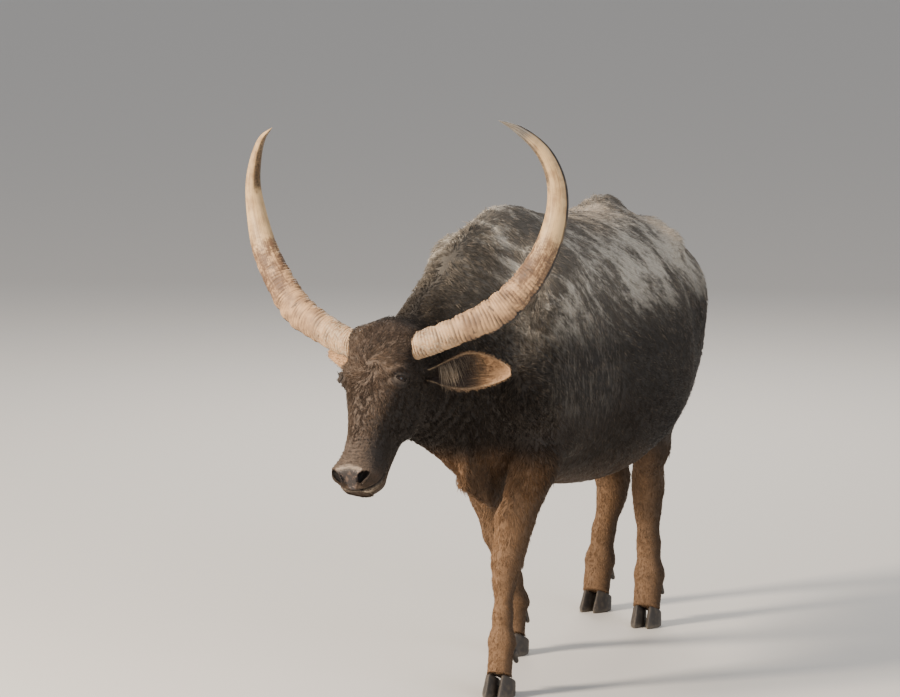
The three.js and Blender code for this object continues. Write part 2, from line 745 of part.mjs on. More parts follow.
function addEyes() {
  [['left', 1], ['right', -1]].forEach(([name, side]) => {
    const [across, down, out] = EYE.look;
    const look = fromHead(side * across, down, out).sub(POLL).normalize();
    const inner = fromHead(side * 60, EYE.down, -2);
    const centre = surfaceAt(headField, inner, look, 120).addScaledVector(look, -EYE.sunk);
    const upward = headDown.clone().multiplyScalar(-1).projectOnPlane(look).normalize();
    headSolid = headSolid.add(toSolid(lidGeometry(centre, look, upward)));
    headSolid = headSolid.add(toSolid(lidGeometry(centre, look, upward.clone().negate())));
    const ball = new THREE.SphereGeometry(EYE.radius, 12, 8);
    ball.translate(centre.x, centre.y, centre.z);
    const socket = new THREE.SphereGeometry(EYE.radius + GAP * 2, 12, 8);
    socket.translate(centre.x, centre.y, centre.z);
    headSolid = headSolid.subtract(toSolid(socket));
    addNode(`eye_${name}`, fromSolid(toSolid(ball)), EYEBALL);
  });
}

// A nostril: a slanted hollow in the muzzle's wing, wide at its mouth and narrow inside, under
// a raised outer rim.
function addNostrils() {
  [1, -1].forEach((side) => {
    const from = fromHead(side * NOSTRIL.side * 0.5, NOSTRIL.down - 50, -26);
    const way = fromHead(side * NOSTRIL.side, NOSTRIL.down, NOSTRIL.out).sub(from).normalize();
    const mouth = surfaceAt(headField, from, way, 160);
    const slant = headAcross.clone().multiplyScalar(side).addScaledVector(headOut, 0.9)
      .projectOnPlane(way)
      .normalize();
    const across = new THREE.Vector3().crossVectors(way, slant).multiplyScalar(side);
    const rim = [];
    for (let n = 0; n <= NOSTRIL.steps; n += 1) {
      const angle = radians(lerp(-60, 130, n / NOSTRIL.steps));
      rim.push(mouth.clone().addScaledVector(way, -NOSTRIL.rim * 0.5)
        .addScaledVector(slant, (NOSTRIL.wide + NOSTRIL.rim * 0.4) * Math.sin(angle))
        .addScaledVector(across, -(NOSTRIL.high + NOSTRIL.rim * 0.4) * Math.cos(angle)));
    }
    const fading = (t) => {
      const share = NOSTRIL.rim * lerp(0.35, 1, Math.sin(Math.PI * t));
      return [share, share];
    };
    const rimCurve = new THREE.CatmullRomCurve3(rim);
    headSolid = headSolid.add(toSolid(loft(ringsAlong(rimCurve, NOSTRIL.steps, 5, fading, way))));
    const hollow = new THREE.LineCurve3(
      mouth.clone().addScaledVector(way, NOSTRIL.rim * 2),
      mouth.clone().addScaledVector(way, -NOSTRIL.deep),
    );
    const opening = (t) => [NOSTRIL.high * lerp(1, 0.4, t), NOSTRIL.wide * lerp(1, 0.4, t)];
    headSolid = headSolid.subtract(toSolid(loft(ringsAlong(hollow, 2, 8, opening, slant))));
  });
}

// The line of the mouth: a groove round the muzzle, with the lips rolled along it.
function addMouth() {
  const line = (rise) => {
    const points = [];
    for (let n = 0; n <= 14; n += 1) {
      const angle = radians(lerp(-MOUTH.turn, MOUTH.turn, n / 14));
      const way = headAcross.clone().multiplyScalar(Math.sin(angle))
        .addScaledVector(headDown, Math.cos(angle))
        .addScaledVector(headOut, 0.16 * Math.cos(angle) - 0.1);
      const from = fromHead(0, MOUTH.down, MOUTH.out + rise);
      points.push(surfaceAt(headField, from, way.normalize(), 200));
    }
    return new THREE.CatmullRomCurve3(points);
  };
  const lipSize = (t) => {
    const share = lerp(0.45, 1, Math.sin(Math.PI * t));
    return [MOUTH.lip * share, MOUTH.lip * share * 0.8];
  };
  [-MOUTH.lip, MOUTH.lip].forEach((rise) => {
    headSolid = headSolid.add(toSolid(loft(ringsAlong(line(rise), 12, 5, lipSize, headOut))));
  });
  const groove = ringsAlong(line(0), 12, 4, () => [MOUTH.deep + MOUTH.lip, MOUTH.high], headOut);
  headSolid = headSolid.subtract(toSolid(loft(groove)));
}

// An ear is a leaf-shaped scoop on a narrow stalk: a trough of even wall that opens forward
// and flattens to a blunt point. The left ear stands out sideways and the right one is laid back.
function earFrame(side) {
  const ways = side > 0 ? EAR_WAYS.left : EAR_WAYS.right;
  const root = besideHead(side * EAR.side, EAR.back, EAR.drop);
  const outwards = new THREE.Vector3(...ways.outwards).normalize();
  const facing = new THREE.Vector3(...ways.facing).normalize();
  const upward = new THREE.Vector3().crossVectors(outwards, facing).multiplyScalar(-side);
  return { root, outwards, facing, upward: upward.normalize() };
}

// A place on the ear: share of its length, angle round the trough, and depth into the wall.
function earPlace(frame, t, share, inset) {
  const leaf = 0.42 + 0.58 * Math.sin(Math.PI * t ** 0.95) ** 1.6;
  const width = EAR.width * leaf * Math.sqrt(clamp(1 - (t / 1.01) ** 4, 0, 1));
  const hug = lerp(125, 42, t ** 0.6);
  const angle = radians(hug * share);
  const radius = width / Math.sin(radians(Math.min(hug, 90)));
  const wall = EAR.wall * lerp(1.2, 0.6, t);
  const reach = Math.max(radius - wall * inset, radius * 0.4);
  return frame.root.clone().addScaledVector(frame.outwards, EAR.length * t)
    .addScaledVector(frame.upward, reach * Math.sin(angle))
    .addScaledVector(frame.facing, radius * 0.4 - reach * Math.cos(angle));
}

function earGeometry(side) {
  const frame = earFrame(side);
  const half = 6;
  const rings = [];
  for (let n = 0; n <= EAR.steps; n += 1) {
    const t = n / EAR.steps;
    const edge = [];
    for (let s = 0; s <= half; s += 1) {
      edge.push(earPlace(frame, t, lerp(-1, 1, s / half), 0));
    }
    for (let s = half; s >= 0; s -= 1) {
      edge.push(earPlace(frame, t, lerp(-1, 1, s / half), 1));
    }
    rings.push(edge);
  }
  return loft(rings);
}

// Pale, overlapping locks that root along the upper rim near the base and hang slantwise
// across the cup.
function earFringe(side) {
  const frame = earFrame(side);
  const random = seededRandom(side > 0 ? 11 : 12);
  const locks = [];
  for (let n = 0; n < FRINGE.count; n += 1) {
    const t = lerp(FRINGE.from, FRINGE.to, n / (FRINGE.count - 1));
    const start = earPlace(frame, t, 0.9, 0.5);
    const slant = side * (0.5 - 0.9 * t + 0.3 * (random() - 0.5));
    const direction = new THREE.Vector3(slant, -0.16 - 0.14 * random(), -1).normalize();
    const length = FRINGE.length * lerp(1, 0.7, n / FRINGE.count) * (0.85 + 0.3 * random());
    locks.push(lockGeometry(start, direction, length, FRINGE.width, FRINGE.thick, FRINGE.sag));
  }
  return locks;
}

function addEars() {
  [['left', 1], ['right', -1]].forEach(([name, side]) => {
    let ear = toSolid(earGeometry(side));
    for (const lock of earFringe(side)) {
      ear = ear.add(toSolid(lock));
    }
    addNode(`ear_${name}`, fromSolid(ear.subtract(headGrown)), EAR_HIDE);
  });
}

function legRings(leg) {
  const field = legField(leg);
  const centres = new THREE.CatmullRomCurve3(leg.joints.map(([x, y, z]) => vector([x, y, z])));
  const low = leg.joints[leg.joints.length - 1];
  const rings = [];
  for (let n = 0; n <= LEG_RINGS; n += 1) {
    const at = centres.getPoint(n / LEG_RINGS);
    const ring = [];
    for (let s = 0; s < LEG_SIDES; s += 1) {
      const angle = (s / LEG_SIDES) * 2 * Math.PI;
      const ray = new THREE.Vector3(Math.cos(angle), Math.sin(angle), 0);
      ring.push(surfaceAt(field, at, ray, 220));
    }
    rings.push(ring);
  }
  const sole = rings[LEG_RINGS].map((p) => new THREE.Vector3(p.x, p.y, low[2] - 40));
  rings.push(sole);
  return rings;
}

function hoofPlane(leg) {
  const [x, y] = leg.joints[leg.joints.length - 1];
  const tilt = radians(HOOF_SLOPE);
  return { point: vector([x, y, HOOF_TOP]), normal: vector([0, Math.sin(tilt), Math.cos(tilt)]) };
}

// One claw of a cloven hoof: a flat sole, pointed at the toe, leaning in to the coronet.
function clawGeometry(leg, side) {
  const [x, y] = leg.joints[leg.joints.length - 1];
  const toe = radians(leg.toe);
  const levels = [[0, 1, 0], [14, 1.02, 0], [50, 0.9, 14], [120, 0.72, 36]];
  const rings = levels.map(([z, share, lean]) => {
    const ring = [];
    const sides = 12;
    for (let s = 0; s < sides; s += 1) {
      const angle = (s / sides) * 2 * Math.PI;
      const front = Math.max(-Math.sin(angle), 0);
      const wide = Math.cos(angle) * (1 - 0.45 * front ** 2) * HOOF_WIDTH * 0.5;
      const inner = Math.cos(angle) * side < 0 ? 0.72 : 1;
      const local = new THREE.Vector3(
        wide * inner * share + side * HOOF_WIDTH * 0.42,
        Math.sin(angle) * HOOF_LENGTH * 0.5 * share + lean - 8,
        z,
      );
      local.applyAxisAngle(new THREE.Vector3(0, 0, 1), toe);
      ring.push(local.add(new THREE.Vector3(x, y, 0)));
    }
    return ring;
  });
  return loft(rings);
}

function addLegs() {
  const torsoGrown = toSolid(grown(torsoGeometry, GAP));
  for (const [name, leg] of Object.entries(LEGS)) {
    const plane = hoofPlane(leg);
    const whole = toSolid(loft(legRings(leg))).subtract(torsoGrown)
      .intersect(halfSpace(plane.point, plane.normal, GAP / 2));
    const joint = vector(leg.joints[LEG_SPLIT].slice(0, 3));
    const up = new THREE.Vector3(0, 0, 1);
    const upper = whole.intersect(halfSpace(joint, up, GAP / 2));
    const lower = whole.subtract(halfSpace(joint, up, -GAP / 2));
    addNode(`leg_${name}_upper`, fromSolid(upper), HIDE);
    addNode(`leg_${name}_lower`, fromSolid(lower), LEG_HIDE);
    const lowerGrown = toSolid(grown(fromSolid(lower), GAP));
    [['outer', 1], ['inner', -1]].forEach(([place, side]) => {
      const away = leg.joints[0][0] > 0 ? side : -side;
      const cleft = new THREE.Vector3(away, 0, 0)
        .applyAxisAngle(new THREE.Vector3(0, 0, 1), radians(leg.toe));
      const claw = toSolid(clawGeometry(leg, away))
        .subtract(halfSpace(plane.point, plane.normal, -GAP / 2))
        .intersect(halfSpace(plane.point, cleft, HOOF_CLEFT / 2));
      addNode(`hoof_${name}_${place}`, fromSolid(claw), HOOF);
      addNode(`dewclaw_${name}_${place}`, fromSolid(dewclaw(leg, away).subtract(lowerGrown)), HOOF);
    });
  }
}

function dewclaw(leg, side) {
  const [x, y] = leg.joints[leg.joints.length - 3];
  const top = vector([x + side * DEWCLAW.apart, y + DEWCLAW.back * 0.6, DEWCLAW.high]);
  const foot = vector([
    x + side * DEWCLAW.apart * 1.2,
    y + DEWCLAW.back * 1.2,
    DEWCLAW.high - DEWCLAW.length,
  ]);
  const path = new THREE.LineCurve3(top, foot);
  const size = (t) => [DEWCLAW.radius * lerp(1, 0.5, t), DEWCLAW.radius * lerp(1.1, 0.6, t)];
  return toSolid(loft(ringsAlong(path, 2, 6, size, new THREE.Vector3(0, 1, 0))));
}

// A flat lock of hair: a tapered blade that bends as it hangs.
function lockGeometry(root, direction, length, width, thick, sag) {
  const middle = root.clone().addScaledVector(direction, length * 0.5);
  const end = new THREE.Vector3(root.x, root.y, root.z - sag).addScaledVector(direction, length);
  const path = new THREE.QuadraticBezierCurve3(root, middle, end);
  const size = (t) => {
    const share = t < 0.25 ? lerp(0.7, 1, t * 4) : Math.max(1 - ((t - 0.25) / 0.75) ** 1.6, 0.04);
    return [width * share * 0.5, thick * share * 0.5];
  };
  return loft(ringsAlong(path, 4, 4, size, new THREE.Vector3(0.3, 1, 0.2).normalize()));
}

function addTail() {
  const path = new THREE.CatmullRomCurve3(TAIL_PATH.map(vector));
  const size = (t) => {
    const radius = lerp(TAIL_ROOT, TAIL_END, t ** 0.6);
    return [radius, radius];
  };
  const torsoGrown = toSolid(grown(torsoGeometry, GAP));
  const rings = ringsAlong(path, 14, 10, size, new THREE.Vector3(0, 1, 0));
  addNode('tail', fromSolid(toSolid(loft(rings)).subtract(torsoGrown)), HIDE);
  const end = vector(TAIL_PATH[TAIL_PATH.length - 1]);
  const before = path.getTangent(1);
  const start = end.clone().addScaledVector(before, GAP);
  const tip = start.clone().add(new THREE.Vector3(6, -8, -SWITCH_LENGTH * 0.55));
  const core = ringsAlong(
    new THREE.LineCurve3(start, tip),
    4,
    10,
    (t) => [TAIL_END * lerp(1, 0.5, t), TAIL_END * lerp(1, 0.5, t)],
    new THREE.Vector3(0, 1, 0),
  );
  let hair = toSolid(loft(core));
  const random = seededRandom(7);
  for (let n = 0; n < SWITCH_LOCKS; n += 1) {
    const angle = n * 2.4;
    const high = (n / SWITCH_LOCKS) * 0.75;
    const outwards = new THREE.Vector3(Math.cos(angle), Math.sin(angle), 0);
    const root = start.clone().lerp(tip, high + 0.12).addScaledVector(outwards, TAIL_END * 0.2);
    const direction = new THREE.Vector3(0, 0, -1).addScaledVector(outwards, 0.16 + 0.1 * random());
    const length = SWITCH_LENGTH * (0.6 + 0.25 * random());
    hair = hair.add(toSolid(lockGeometry(root, direction.normalize(), length, 30, 12, 0)));
  }
  addNode('tail_switch', fromSolid(hair), TAIL_HAIR);
}

addHorns();
addMouth();
addNostrils();
addEyes();
addEars();
addLegs();
addTail();
addNode('head', fromSolid(headSolid), HIDE);
addNode('neck', fromSolid(neckSolid), HIDE);
addNode('torso', fromSolid(torsoSolid), HIDE);

// The origin moves to the middle of the box, on the floor.
const box = new THREE.Box3().setFromObject(model);
model.position.set(-(box.min.x + box.max.x) / 2, -(box.min.y + box.max.y) / 2, -box.min.z);

export default model;
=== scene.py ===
# %% [markdown]
# # A water buffalo, life size
#
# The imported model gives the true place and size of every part. This script dresses it with one
# unbroken skin, ringed horns, wet eyes, split hooves, leaf-shaped ears and a coat of thin tufts.
# Every length is in metres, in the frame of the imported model, so nothing is fitted afterwards.

# %% Load the fixed frame
import math

import bpy
import numpy as np
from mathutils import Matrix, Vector


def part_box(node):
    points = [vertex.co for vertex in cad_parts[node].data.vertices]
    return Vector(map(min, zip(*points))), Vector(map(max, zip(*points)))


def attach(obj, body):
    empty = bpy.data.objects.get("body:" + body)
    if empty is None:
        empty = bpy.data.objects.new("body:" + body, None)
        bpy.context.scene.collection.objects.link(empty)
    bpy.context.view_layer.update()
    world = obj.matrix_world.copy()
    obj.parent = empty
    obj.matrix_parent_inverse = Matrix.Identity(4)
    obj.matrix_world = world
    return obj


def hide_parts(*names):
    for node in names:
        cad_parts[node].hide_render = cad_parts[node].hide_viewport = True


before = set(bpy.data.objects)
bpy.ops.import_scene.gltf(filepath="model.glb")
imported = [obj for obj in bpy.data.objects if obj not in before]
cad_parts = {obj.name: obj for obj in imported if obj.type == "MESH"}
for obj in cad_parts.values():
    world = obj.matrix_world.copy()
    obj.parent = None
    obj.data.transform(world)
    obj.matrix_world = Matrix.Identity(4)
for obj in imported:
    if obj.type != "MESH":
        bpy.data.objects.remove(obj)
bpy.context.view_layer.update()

# %% [markdown]
# ## The body as a rule
#
# A living body has no edges: muscle runs into muscle. It could be sculpted by hand, or built from
# subdivided boxes, but then the skin would drift from the solid it stands for. Here it is a rule
# instead, a field that gives the distance from any point to the surface. Stations along the trunk
# and the head give the main form, and rounded bars and ellipsoids add bones and muscles. The
# body's own origin lies on the floor under the withers, and it faces -Y.

# %% Stations of the trunk and the head
# Place, top, bottom, half width, height of the widest point, sideways bend, and how square the
# section is above and below the widest point.
TRUNK = np.array([
    (-0.66, 1.29, 1.01, 0.095, 1.14, -0.176, 2.0, 2.0),
    (-0.56, 1.345, 0.925, 0.128, 1.13, -0.156, 2.0, 1.9),
    (-0.45, 1.445, 0.868, 0.152, 1.13, -0.126, 1.8, 1.8),
    (-0.34, 1.56, 0.8, 0.182, 1.12, -0.088, 1.7, 1.8),
    (-0.2, 1.645, 0.705, 0.238, 1.09, -0.042, 1.6, 1.8),
    (-0.06, 1.686, 0.685, 0.29, 1.09, -0.008, 1.6, 1.9),
    (0.2, 1.636, 0.66, 0.372, 1.07, 0.0, 1.9, 2.1),
    (0.48, 1.594, 0.612, 0.432, 1.04, 0.0, 2.0, 2.1),
    (0.74, 1.584, 0.636, 0.428, 1.05, 0.0, 1.9, 2.1),
    (0.93, 1.596, 0.735, 0.352, 1.12, 0.0, 1.8, 2.0),
    (1.08, 1.538, 0.85, 0.285, 1.16, 0.0, 1.8, 1.9),
    (1.23, 1.49, 1.0, 0.205, 1.21, 0.0, 1.9, 1.9),
    (1.33, 1.4, 1.1, 0.1, 1.24, 0.0, 2.0, 2.0),
])
HEAD = np.array([
    (-0.07, -0.02, -0.13, 0.07, -0.07, 0.0, 2.0, 2.0),
    (-0.01, 0.036, -0.18, 0.112, -0.04, 0.0, 2.4, 1.8),
    (0.08, 0.066, -0.225, 0.122, -0.02, 0.0, 2.6, 1.7),
    (0.18, 0.062, -0.245, 0.114, -0.015, 0.0, 2.5, 1.7),
    (0.265, 0.054, -0.232, 0.096, -0.035, 0.0, 2.3, 1.7),
    (0.345, 0.05, -0.2, 0.076, -0.045, 0.0, 2.2, 1.8),
    (0.43, 0.046, -0.168, 0.07, -0.04, 0.0, 2.2, 1.9),
    (0.495, 0.052, -0.138, 0.082, -0.025, 0.0, 2.3, 2.0),
    (0.538, 0.038, -0.112, 0.082, -0.035, 0.0, 2.2, 2.0),
    (0.572, -0.002, -0.086, 0.056, -0.044, 0.0, 2.0, 2.0),
])
POLL = np.array([-0.184, -0.7, 1.3])
FACE_SLOPE, HEAD_YAW, HEAD_ROLL = (math.radians(turn) for turn in (63, 10, 3.5))


def stations_at(table, along):
    """Every column of a station table at many places, on smooth curves."""
    place = table[:, 0]
    last = len(table) - 1
    after = np.minimum(np.arange(last + 1) + 1, last)
    before = np.maximum(np.arange(last + 1) - 1, 0)
    slope = (table[after] - table[before]) / (place[after] - place[before])[:, None]
    along = np.clip(along, place[0], place[-1])
    i = np.clip(np.searchsorted(place, along, side="right") - 1, 0, last - 1)
    span = place[i + 1] - place[i]
    t = (along - place[i]) / span
    s = 1 - t
    weights = ((1 + 2 * t) * s * s, span * t * s * s, (3 - 2 * t) * t * t, -span * t * t * s)
    columns = (table[i], slope[i], table[i + 1], slope[i + 1])
    return sum(w[:, None] * c for w, c in zip(weights, columns)).T


def station_distance(table, across, along, up):
    """Distance to a long body that is given by stations."""
    _, top, low, half, mid, side, crown, keel = stations_at(table, along)
    out, rise = np.abs(across - side), up - mid
    reach = np.where(rise > 0, top - mid, mid - low)
    power = np.where(rise > 0, crown, keel)
    share = ((out / half) ** power + (np.abs(rise) / reach) ** power) ** (1 / power)
    radial = np.maximum(np.hypot(out, rise), 1e-3)
    inside = radial - radial / np.maximum(share, 1e-6)
    beyond = np.maximum(np.maximum(table[0, 0] - along, along - table[-1, 0]), 0)
    return np.where(beyond > 0, np.hypot(np.maximum(inside, 0), beyond), inside)


# %% Bars, ellipsoids and soft joins
def smooth_union(a, b, blend):
    """The nearer of two distances, rounded where they are alike."""
    overlap = np.maximum(blend - np.abs(a - b), 0) / blend
    return np.minimum(a, b) - overlap * overlap * blend * 0.25


def bar(p, start, end, thick_start, thick_end, squeeze=1.0):
    """Distance to a tapered bar with round ends, squeezed from side to side."""
    scale = np.array([1 / squeeze, 1, 1])
    start, end, p = np.array(start) * scale, np.array(end) * scale, p * scale
    run = end - start
    t = np.clip((p - start) @ run / (run @ run), 0, 1)
    reach = np.linalg.norm(p - start - t[:, None] * run, axis=1)
    return (reach - thick_start - (thick_end - thick_start) * t) * min(1, squeeze)


def ellipsoid(p, centre, radii):
    """Distance to an ellipsoid."""
    scaled = (p - np.array(centre)) / np.array(radii)
    near = np.linalg.norm(scaled, axis=1)
    steep = np.linalg.norm(scaled / np.array(radii), axis=1)
    return near * (near - 1) / np.maximum(steep, 1e-6)


# %% Named forms of head and trunk
PAIR, SINGLE = True, False
# Each form: on both sides or not, its shape with its sizes, and how softly it blends in.
HEAD_FORMS = {
    "brow": (PAIR, ellipsoid, ((0.084, 0.176, 0.006), (0.042, 0.046, 0.04)), 0.034),
    "cheek": (PAIR, ellipsoid, ((0.066, 0.25, -0.13), (0.03, 0.086, 0.078)), 0.04),
    "horn root": (PAIR, bar, ((0.06, 0.024, -0.024), (0.104, 0.02, -0.018), 0.054, 0.047), 0.04),
    "ear root": (PAIR, bar, ((0.074, 0.09, -0.112), (0.108, 0.092, -0.13), 0.042, 0.034), 0.044),
    "nostril wing": (PAIR, ellipsoid, ((0.048, 0.516, 0.014), (0.033, 0.036, 0.028)), 0.022),
    "chin": (SINGLE, ellipsoid, ((0, 0.522, -0.098), (0.048, 0.036, 0.03)), 0.03),
}
TRUNK_FORMS = {
    "shoulder blade": (PAIR, ellipsoid, ((0.196, -0.07, 1.27), (0.098, 0.17, 0.3)), 0.11),
    "upper arm": (PAIR, ellipsoid, ((0.232, 0.03, 1.01), (0.086, 0.15, 0.17)), 0.09),
    "rump": (PAIR, ellipsoid, ((0.176, 1.08, 1.13), (0.136, 0.2, 0.3)), 0.12),
    "hook": (PAIR, bar, ((0.15, 1.03, 1.47), (0.238, 0.985, 1.44), 0.06, 0.056), 0.06),
    "pin": (PAIR, bar, ((0.08, 1.2, 1.39), (0.104, 1.268, 1.35), 0.07, 0.058), 0.06),
    "sacral hump": (SINGLE, bar, ((0, 0.896, 1.576), (0, 0.968, 1.57), 0.044, 0.044), 0.054),
    "brisket": (SINGLE, bar, ((-0.024, -0.33, 0.77), (-0.004, -0.17, 0.69), 0.07, 0.066, 0.5), 0.07),
    "rear thigh": (PAIR, ellipsoid, ((0.172, 1.14, 0.96), (0.104, 0.126, 0.23)), 0.08),
    "udder": (SINGLE, bar, ((0, 0.93, 0.79), (0, 1.03, 0.8), 0.095, 0.08), 0.07),
}


def with_forms(distance, p, forms):
    """A distance with a list of forms blended in."""
    folded = np.column_stack([np.abs(p[:, 0]), p[:, 1], p[:, 2]])
    for paired, shape, sizes, blend in forms.values():
        distance = smooth_union(distance, shape(folded if paired else p, *sizes), blend)
    return distance


# %% Legs and tail
# Joints down each leg: place, front-to-back half thickness, and the sideways share of it.
LEGS = {
    "front_left": {
        "root": ((0.186, -0.262, 1.06), (0.205, -0.09, 0.925), 0.112, 0.112),
        "joints": [
            (0.2, -0.09, 0.94, 0.1, 0.8), (0.176, -0.19, 0.8, 0.092, 0.86),
            (0.136, -0.29, 0.61, 0.07, 0.92), (0.122, -0.33, 0.465, 0.066, 0.88),
            (0.12, -0.352, 0.4, 0.05, 0.88), (0.12, -0.368, 0.28, 0.042, 0.92),
            (0.12, -0.376, 0.185, 0.053, 0.98), (0.12, -0.392, 0.12, 0.043, 1.05),
            (0.12, -0.402, 0.066, 0.05, 1.15),
        ],
        "toe": 2,
    },
    "front_right": {
        "root": ((-0.196, -0.25, 1.06), (-0.205, -0.02, 0.925), 0.112, 0.112),
        "joints": [
            (-0.205, -0.02, 0.94, 0.1, 0.8), (-0.184, 0.06, 0.79, 0.09, 0.86),
            (-0.14, 0.146, 0.62, 0.07, 0.92), (-0.122, 0.224, 0.465, 0.066, 0.88),
            (-0.118, 0.252, 0.4, 0.05, 0.88), (-0.116, 0.306, 0.28, 0.042, 0.92),
            (-0.116, 0.34, 0.185, 0.053, 0.98), (-0.116, 0.34, 0.12, 0.043, 1.05),
            (-0.116, 0.33, 0.066, 0.05, 1.15),
        ],
        "toe": -3,
    },
    "hind_left": {
        "root": ((0.185, 1.08, 1.2), (0.205, 0.9, 0.88), 0.19, 0.135),
        "joints": [
            (0.205, 0.9, 0.86, 0.13, 0.8), (0.168, 1.0, 0.69, 0.092, 0.72),
            (0.124, 1.092, 0.56, 0.072, 0.66), (0.118, 1.112, 0.5, 0.072, 0.72),
            (0.122, 1.098, 0.43, 0.056, 0.8), (0.134, 1.076, 0.3, 0.045, 0.86),
            (0.144, 1.058, 0.185, 0.054, 0.96), (0.146, 1.036, 0.12, 0.043, 1.05),
            (0.146, 1.022, 0.066, 0.049, 1.12),
        ],
        "toe": 5,
    },
    "hind_right": {
        "root": ((-0.185, 1.1, 1.2), (-0.2, 1.0, 0.88), 0.19, 0.135),
        "joints": [
            (-0.2, 1.01, 0.86, 0.13, 0.8), (-0.156, 1.16, 0.69, 0.096, 0.74),
            (-0.102, 1.276, 0.56, 0.076, 0.7), (-0.092, 1.306, 0.5, 0.076, 0.76),
            (-0.098, 1.304, 0.43, 0.06, 0.84), (-0.122, 1.286, 0.3, 0.045, 0.86),
            (-0.134, 1.278, 0.185, 0.054, 0.96), (-0.137, 1.258, 0.12, 0.043, 1.05),
            (-0.138, 1.246, 0.066, 0.049, 1.12),
        ],
        "toe": -5,
    },
}
LEG_ROOT_SQUEEZE, LEG_ROOT_BLEND, LEG_BLEND, LEG_JOIN = 0.75, 0.09, 0.026, 0.045
HOOF_TOP, HOOF_SLOPE, CORONET_ROUND = 0.066, math.radians(24), 0.008
TAIL_PATH = np.array([
    (0, 1.235, 1.455), (0.004, 1.33, 1.44), (0.01, 1.392, 1.33), (0.016, 1.41, 1.16),
    (0.024, 1.412, 0.96), (0.032, 1.404, 0.78), (0.036, 1.398, 0.69),
])
TAIL_ROOT, TAIL_END, TAIL_BARS, TAIL_BLEND = 0.042, 0.017, 14, 0.03


# %% Curves and chains of bars
def curve_through(points, t):
    """Places on a smooth curve through points, where t runs from 0 to 1."""
    points = np.vstack([2 * points[0] - points[1], points, 2 * points[-1] - points[-2]])
    spans = len(points) - 3
    i = np.minimum((t * spans).astype(int), spans - 1)
    s = (t * spans - i)[:, None]
    p0, p1, p2, p3 = (points[i + k] for k in range(4))
    pairs = ((p0, p1), (p1, p2), (p2, p3))
    d0, d1, d2 = (np.sqrt(np.linalg.norm(b - a, axis=1))[:, None] for a, b in pairs)
    lean1 = ((p1 - p0) / d0 - (p2 - p0) / (d0 + d1) + (p2 - p1) / d1) * d1
    lean2 = ((p2 - p1) / d1 - (p3 - p1) / (d1 + d2) + (p3 - p2) / d2) * d1
    cube = 2 * p1 - 2 * p2 + lean1 + lean2
    square = -3 * p1 + 3 * p2 - 2 * lean1 - lean2
    return ((cube * s + square) * s + lean1) * s + p1


def chain_distance(p, joints, blend):
    """Distance to a chain of bars, each given by a place, a thickness and a squeeze."""
    distance = None
    for (*a, ra, fa), (*b, rb, fb) in zip(joints, joints[1:]):
        piece = bar(p, a, b, ra, rb, (fa + fb) / 2)
        distance = piece if distance is None else smooth_union(distance, piece, blend)
    return distance


tail_t = np.linspace(0, 1, TAIL_BARS + 1)
tail_thick = TAIL_ROOT + (TAIL_END - TAIL_ROOT) * tail_t ** 0.6
TAIL_JOINTS = [(*place, thick, 1.0) for place, thick in zip(curve_through(TAIL_PATH, tail_t), tail_thick)]
leg_joints = sum(len(leg["joints"]) for leg in LEGS.values())
print("joints:", leg_joints, "in the legs,", len(TAIL_JOINTS), "in the tail")


# %% The head's own frame
def turn_about(axis, angle):
    """A turn about one of the axes, as a matrix."""
    c, s = math.cos(angle), math.sin(angle)
    if axis == "Z":
        return np.array([(c, -s, 0), (s, c, 0), (0, 0, 1)])
    return np.array([(c, 0, s), (0, 1, 0), (-s, 0, c)])


head_turn = turn_about("Z", -HEAD_YAW) @ turn_about("Y", -HEAD_ROLL)
# Rows: across to the left side, down the face, and out from the face.
HEAD_AXES = np.array([
    (1, 0, 0),
    (0, -math.cos(FACE_SLOPE), -math.sin(FACE_SLOPE)),
    (0, -math.sin(FACE_SLOPE), math.cos(FACE_SLOPE)),
]) @ head_turn.T
HEAD_REACH, TAIL_REACH, LEG_REACH, NECK_BLEND = -0.3, 1.1, 1.15, 0.05


def to_head(p):
    """Points in the head's frame: across, down and out."""
    return (p - POLL) @ HEAD_AXES.T


def from_head(h):
    """Points of the head's frame, in the body's frame."""
    return np.asarray(h) @ HEAD_AXES + POLL


def beside_head(p):
    """Across, back and up from the poll, turned with the head."""
    return np.asarray(p) @ head_turn.T + POLL


# %% The whole field
def head_distance(p):
    """Distance to the head alone."""
    h = to_head(p)
    return with_forms(station_distance(HEAD, *h.T), h, HEAD_FORMS)


def leg_distance(p, leg):
    """Distance to one leg, cut off at the slanting top of its hooves."""
    x, y = leg["joints"][-1][:2]
    below = -((p[:, 1] - y) * math.sin(HOOF_SLOPE) + (p[:, 2] - HOOF_TOP) * math.cos(HOOF_SLOPE))
    return -smooth_union(-chain_distance(p, leg["joints"], LEG_BLEND), -below, CORONET_ROUND)


def body_distance(p):
    """Distance to the whole body: trunk, legs, tail and head."""
    distance = with_forms(station_distance(TRUNK, *p.T), p, TRUNK_FORMS)
    for leg in LEGS.values():
        root = bar(p, *leg["root"], LEG_ROOT_SQUEEZE)
        distance = smooth_union(distance, root, LEG_ROOT_BLEND)
    low = np.flatnonzero(p[:, 2] < LEG_REACH)
    for leg in LEGS.values():
        distance[low] = smooth_union(distance[low], leg_distance(p[low], leg), LEG_JOIN)
    back = np.flatnonzero(p[:, 1] > TAIL_REACH)
    distance[back] = smooth_union(distance[back], chain_distance(p[back], TAIL_JOINTS, LEG_BLEND), TAIL_BLEND)
    ahead = np.flatnonzero(p[:, 1] < HEAD_REACH)
    distance[ahead] = smooth_union(distance[ahead], head_distance(p[ahead]), NECK_BLEND)
    return distance


